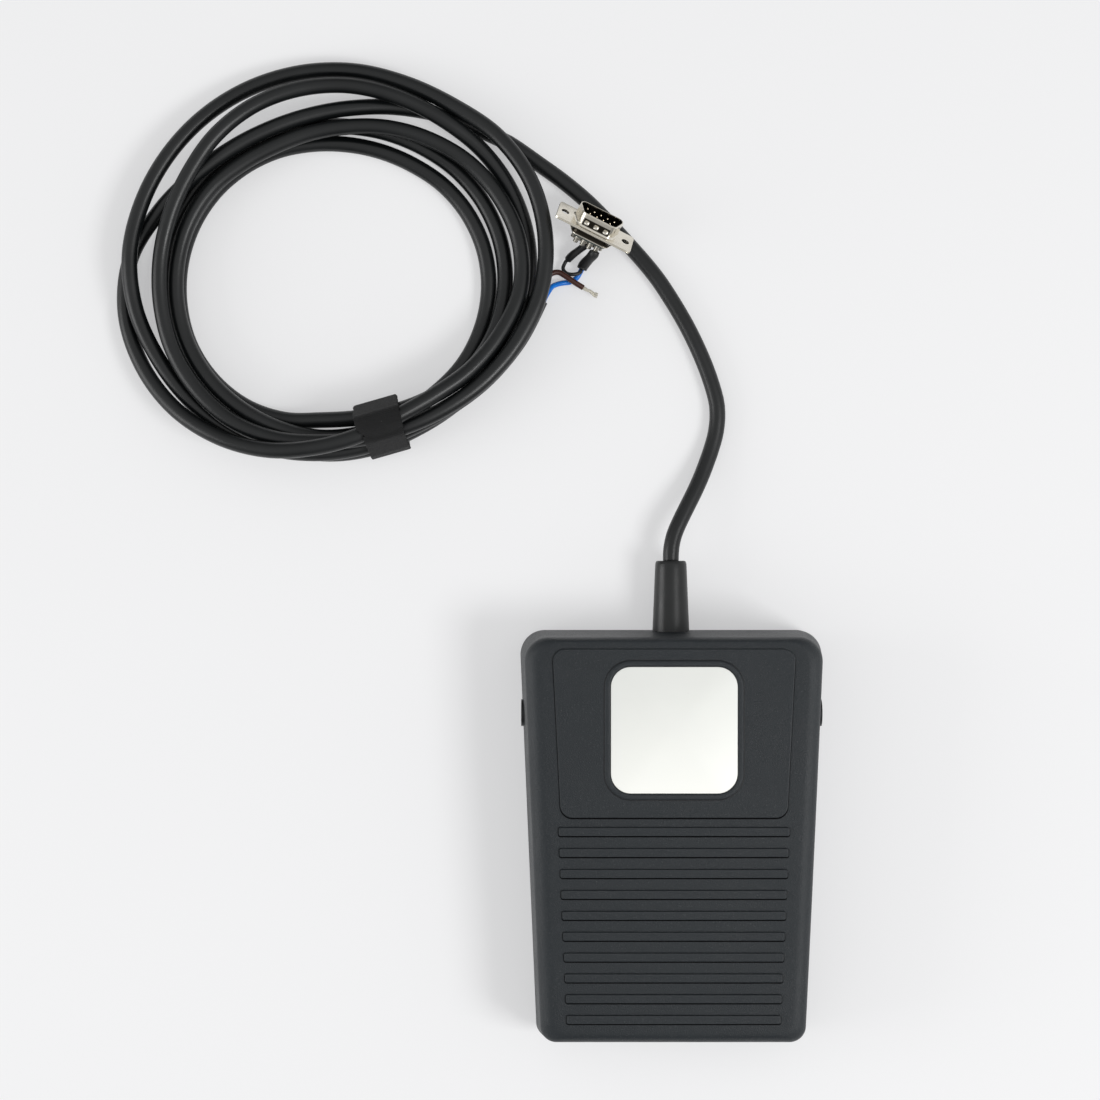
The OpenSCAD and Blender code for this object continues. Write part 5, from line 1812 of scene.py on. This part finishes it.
@dataclass
class LooseEnds:
    """The cores that leave the cut jacket, their shrink sleeves, and the bare twisted end."""

    lead: Lead
    plug: Plug
    core_side: float = 1.3
    sleeve_side: float = 0.85
    blue_share: float = 0.95
    jumper_radius: float = 0.7
    long_radius: float = 2.05
    short_radius: float = 1.5
    bare_line: Array = field(default_factory=lambda: np.array([
        [-33.2, 204.95, 3.95], [-32.6, 204.6, 3.8], [-31.2, 203.7, 3.6], [-30, 203.3, 3.4],
        [-28.6, 202.2, 3.1], [-27.2, 201.7, 3]]))

    def routes(self) -> dict[str, Array]:
        """Works out every loose wire's route from the jacket's end and the solder cups.

        Returns:
            The routes of the brown and blue cores, the jumper, and the long and short sleeves.
        """
        plug = self.plug
        end, out = self.lead.jacket_end()
        across = unit(np.cross(out, [0, 0, 1]))
        mating = plug.spot(0, 0, 1) - plug.spot(0, 0, 0)
        long_cup = plug.spot(1.5 * plug.pitch, -plug.rows / 2, plug.cup_end)
        short_cup = plug.spot(0, plug.rows / 2, plug.cup_end)
        long_sleeve = np.array([long_cup, long_cup - mating * 1.7, [-32.2, 213.4, 3.9],
                                [-33.2, 211.6, 3.1]])
        short_sleeve = np.array([short_cup, short_cup - mating * 1.4, [-36.4, 217, 4.8],
                                 [-38.4, 215.2, 3]])
        long_out = unit(long_sleeve[-1] - long_sleeve[-2])
        short_out = unit(short_sleeve[-1] - short_sleeve[-2])
        rise = np.cross(unit(np.cross(long_out, [0, 0, 1])), long_out)
        blue_end = long_sleeve[-1] - rise * self.sleeve_side
        jumper_end = long_sleeve[-1] + rise * self.sleeve_side
        brown_start, blue_start = end - across * self.core_side, end + across * self.core_side
        brown = np.array([brown_start, brown_start + out * CORE_DIAMETER, [-46.6, 207, 6.2],
                          [-44.6, 209.6, 6], [-42, 210.2, 5.6], [-39.6, 209, 5.2],
                          [-37.2, 207.4, 4.8], [-35, 206, 4.4], [-32.6, 204.6, 3.8]])
        blue = np.array([blue_start, blue_start + out * CORE_DIAMETER, [-44.6, 204.6, 4.6],
                         [-42.6, 205.9, 2.8], [-40.2, 206.6, 1.6], [-37.6, 207, 1.1],
                         [-35.2, 208.4, 1.3], blue_end + long_out * CORE_DIAMETER, blue_end])
        jumper = np.array([short_sleeve[-1], short_sleeve[-1] + short_out * 1.4, [-40.2, 212, 2.6],
                           [-39, 210.2, 3.2], [-36.6, 209.6, 3.8], jumper_end + long_out * 1.4,
                           jumper_end])
        return {"brown": brown, "blue": blue, "jumper": jumper, "long": long_sleeve,
                "short": short_sleeve}

    def sleeve(self, route: Array, radius: float) -> Form:
        """A shrunk sleeve: snug at its start, with slow ripples where it has pulled in.

        Its radius is the full one times 0.96 + 0.04 sin (9 t + 1), less a dip at the start.

        Args:
            route: Its middle line.
            radius: Its full radius.

        Returns:
            The sleeve.
        """
        path = smooth_route(route, 0.35)
        t = np.linspace(0, 1, len(path))
        snug = 0.96 + 0.04 * np.sin(9 * t + 1.0) - 0.10 * np.exp(-((t - 0.02) / 0.06) ** 2)
        return round_tube(path, radius * snug, 22, 0.25)

    def strands(self) -> Form:
        """The bare end: six fine wires twisted round a seventh, and flattened at the tip.

        A wire is line + across wide cos a + rise flat sin a, where a turns by 5 t.

        Returns:
            All seven wires.
        """
        line = smooth_route(self.bare_line, 0.25)
        t = np.linspace(0, 1, len(line))
        _, across, rise = frames_on(line)
        tip = np.clip((t - 0.72) / 0.2, 0, 1)
        wide = 0.48 + 0.35 * tip - 0.12 * np.exp(-((t - 0.4) / 0.15) ** 2)
        flat = 0.48 - 0.22 * tip
        forms = [round_tube(line, 0.26, 8, 0.05)]
        for k in range(6):
            a = k * np.pi / 3 + t * 5.0
            path = line + (wide * np.cos(a))[:, None] * across + (flat * np.sin(a))[:, None] * rise
            forms.append(round_tube(path, 0.25, 8, 0.05))
        return joined(forms)

    def build(self, brown: Finish, blue: Finish, shrink: Finish, tinned: Finish) -> list[Piece]:
        """Builds the loose wires.

        Args:
            brown: The brown core's skin.
            blue: The blue core's skin.
            shrink: The sleeves' and the jumper's plastic.
            tinned: The bare strands' tin.

        Returns:
            The pieces.
        """
        routes, core = self.routes(), CORE_DIAMETER / 2

        def wire(key: str, radius: float) -> Form:
            """A wire on one of the routes."""
            return round_tube(smooth_route(routes[key], 0.4), radius, 16, 0.15)

        long_sleeve = self.sleeve(routes["long"], self.long_radius)
        short_sleeve = self.sleeve(routes["short"], self.short_radius)
        return [add_piece(name, form, skin, (node,)) for name, form, skin, slot, node in (
            ("core_brown_loose", wire("brown", core), brown, "brown_core", "core_brown"),
            ("core_blue_loose", wire("blue", core * self.blue_share), blue, "blue_core",
             "core_blue"),
            ("jumper_wire", wire("jumper", self.jumper_radius), shrink, "shrink", "jumper_wires"),
            ("shrink_sleeve_on_cores", long_sleeve, shrink, "shrink", "shrink_sleeve_long"),
            ("shrink_sleeve_on_jumper", short_sleeve, shrink, "shrink", "shrink_sleeve_short"),
            ("bare_strands", self.strands(), tinned, "copper", "bare_end"),
        )]


# ---------------------------------------------------------------- studio


@dataclass
class Studio:
    """Camera straight above, a pale floor and soft lights, in metres."""

    nadir: tuple[float, float] = (-0.0451, 0.1060)
    camera_height: float = 1.0
    frame_width: float = PICTURE_PIXELS / PIXELS_PER_MM * MM
    sensor_width: float = 36.0
    floor_half: float = 6.0
    floor_colour: Colour = (0.87, 0.872, 0.878)
    floor_seen: Colour = (0.925, 0.925, 0.935)
    floor_share: float = 0.46
    world_level: float = 0.52
    world_seen: Colour = (0.90, 0.905, 0.91)
    mirrored: tuple[float, float] = (0.5, 0.05)
    aim: Triple = (-0.04, 0.05, 0.0)
    key_power: float = 11.0
    left_share: float = 0.45

    def camera(self) -> None:
        """Looks straight down, so that the frame's width at the floor is frame_width."""
        data = bpy.data.cameras.new("camera")
        data.sensor_width = self.sensor_width
        data.lens = self.sensor_width / 2 / (self.frame_width / 2 / self.camera_height)
        data.clip_start, data.clip_end = 0.01, 50.0
        camera = bpy.data.objects.new("camera", data)
        camera.location = (*self.nadir, self.camera_height)
        bpy.context.scene.collection.objects.link(camera)
        bpy.context.scene.camera = camera

    def world(self) -> None:
        """A pale world, open to both sides and above, dim in front and behind.

        Its level is world_level * (1.3 - y^2) by direction. The camera and glass see a plain pale
        air, and mirrors see a share of it.
        """
        world = bpy.data.worlds.new("studio_air")
        bpy.context.scene.world = world
        world.use_nodes = True
        n = Nodes(world.node_tree)
        y = n.parts(n.coords["Generated"], "Y")
        square = n.math("MULTIPLY", y, y)
        air = n.add("Background", {
            "Color": (1.0, 1.0, 1.0),
            "Strength": n.span(square, 0.0, 1.0, self.world_level * 1.3, self.world_level * 0.3)})
        seen = n.add("Background", {"Color": self.world_seen, "Strength": 1.0})
        camera, glossy, transmitted = n.rays()
        mirrors = n.math("MULTIPLY", glossy, n.span(square, 0.0, 1.0, *self.mirrored))
        n.output("World Output", n.math("MAXIMUM", n.math("MAXIMUM", camera, transmitted), mirrors),
                 air, seen)

    def lamp(self, name: str, place: Triple, size: float, power: float) -> None:
        """Adds a square soft light that looks at aim.

        Args:
            name: Its name.
            place: Where it hangs.
            size: The length of its side.
            power: Its power in watts.
        """
        data = bpy.data.lights.new(name, "AREA")
        data.shape, data.size, data.energy = "SQUARE", size, power
        lamp = bpy.data.objects.new(name, data)
        lamp.location = place
        way = Vector(self.aim) - Vector(place)
        lamp.rotation_euler = way.to_track_quat("-Z", "Y").to_euler()
        bpy.context.scene.collection.objects.link(lamp)

    def floor(self) -> None:
        """A wide plain sheet at height 0."""
        half = self.floor_half
        mesh = bpy.data.meshes.new("floor")
        corners = [(-half, -half, 0), (half, -half, 0), (half, half, 0), (-half, half, 0)]
        mesh.from_pydata(corners, [], [(0, 1, 2, 3)])
        floor = bpy.data.objects.new("floor", mesh)
        bpy.context.scene.collection.objects.link(floor)
        b = Bench("floor_paper")
        cloud = b.noise(b.place, 3.0, 2.0, 0.5)
        colour = b.patchy(cloud, 1.0, self.floor_colour,
                          tuple(c * 0.985 for c in self.floor_colour))
        mesh.materials.append(b.done(colour, 0.9, Specular_IOR_Level=0.1))
        pale = b.add("Emission", {"Color": self.floor_seen})
        camera, glossy, transmitted = b.rays()
        seen = b.math("MAXIMUM", b.math("MAXIMUM", camera, glossy), transmitted)
        b.output("Material Output", b.math("MULTIPLY", seen, self.floor_share),
                 b.shader.outputs[0], pale)

    def build(self) -> None:
        """Sets the studio up."""
        bpy.context.scene.view_settings.view_transform = "Standard"
        self.world()
        self.floor()
        self.lamp("key_soft", (0.88, -0.32, 1.2), 0.5, self.key_power)
        self.lamp("left_soft", (-1.15, -0.05, 0.42), 0.7, self.key_power * self.left_share)


# ---------------------------------------------------------------- the whole switch


def dress_switch() -> None:
    """Dresses the CAD nodes of the snap-action switch."""
    case = GrainedPlastic("switch_thermoset", (0.030, 0.034, 0.040), (0.05, 0.055, 0.06), 0.45,
                          2200.0, 0.02)
    dress(case.material(), "switch_case", "switch_cover")
    plunger = GrainedPlastic("plunger_red", (0.35, 0.03, 0.02), (0.45, 0.06, 0.04), 0.4, 2600.0,
                             0.01)
    dress(plunger.material(), "switch_plunger")
    lever = Metal("lever_stainless", (0.66, 0.66, 0.65), (0.54, 0.54, 0.52), 0.22)
    dress(lever.material(), "switch_lever")
    brass = Metal("terminal_brass", (0.72, 0.60, 0.32), (0.55, 0.45, 0.25), 0.3)
    dress(brass.material(), "switch_terminals")


def main() -> None:
    """Builds the studio, the lead and every sub-assembly."""
    logging.basicConfig(level=logging.INFO, format="%(message)s")
    studio, lead, plug = Studio(), Lead(), Plug()
    studio.camera()
    jacket = LeadJacket().material()
    brown = CoreSkin("core_pvc_brown", (0.046, 0.0085, 0.0028), (0.034, 0.0065, 0.0025)).material()
    blue = CoreSkin("core_pvc_blue", (0.004, 0.19, 0.72), (0.004, 0.14, 0.58)).material()
    shrink = Rubber("shrink_tube_black", (0.008, 0.0085, 0.009), 0.42).material()
    tinned = Metal("tinned_copper", (0.76, 0.73, 0.64), (0.58, 0.55, 0.48), 0.30).material()
    plated = Metal("plated_steel_shell", (0.80, 0.76, 0.67), (0.64, 0.60, 0.52), 0.20).material()
    gold = Metal("contact_plating", (0.86, 0.74, 0.55), (0.72, 0.60, 0.44), 0.25).material()
    insulator = GrainedPlastic("insulator_moulding", (0.030, 0.048, 0.048), (0.038, 0.056, 0.054),
                               0.35, 3200.0, 0.01).material()
    loose = LooseEnds(lead, plug).build(brown, blue, shrink, tinned)
    parts = plug.build(plated, insulator, gold, tinned)
    strap = StrapOnCoil().build(HookLoopTape().material())
    lead.build(jacket, [*loose, *parts, strap])
    CoresInside().build(jacket, brown, blue)
    cover = GrainedPlastic("cover_plastic_charcoal").material()
    # near-black plastic for the painted shade round the feet of the ribs and the panel
    shade = GrainedPlastic("cover_crease_shade", (0.0012, 0.0014, 0.0017),
                           (0.0030, 0.0034, 0.0038), 0.7, gloss=0.05).material()
    Treadle().build(cover, SatinBadge().material(), shade)
    tray = GrainedPlastic("base_plastic_black", (0.0065, 0.0080, 0.0095),
                          (0.0125, 0.0145, 0.0165), 0.5, 1800.0, 0.10).material()
    rubber = Rubber("rubber_black").material()
    steel = Metal("zinc_plated_steel", (0.62, 0.62, 0.60), (0.48, 0.47, 0.45), 0.30).material()
    blued = Metal("pin_blued_steel", (0.035, 0.037, 0.040), (0.020, 0.021, 0.023), 0.34,
                  metallic=0.6).material()
    Base().build(rubber, steel, tray, blued)
    dress_switch()
    studio.build()


if __name__ == "__main__":
    main()
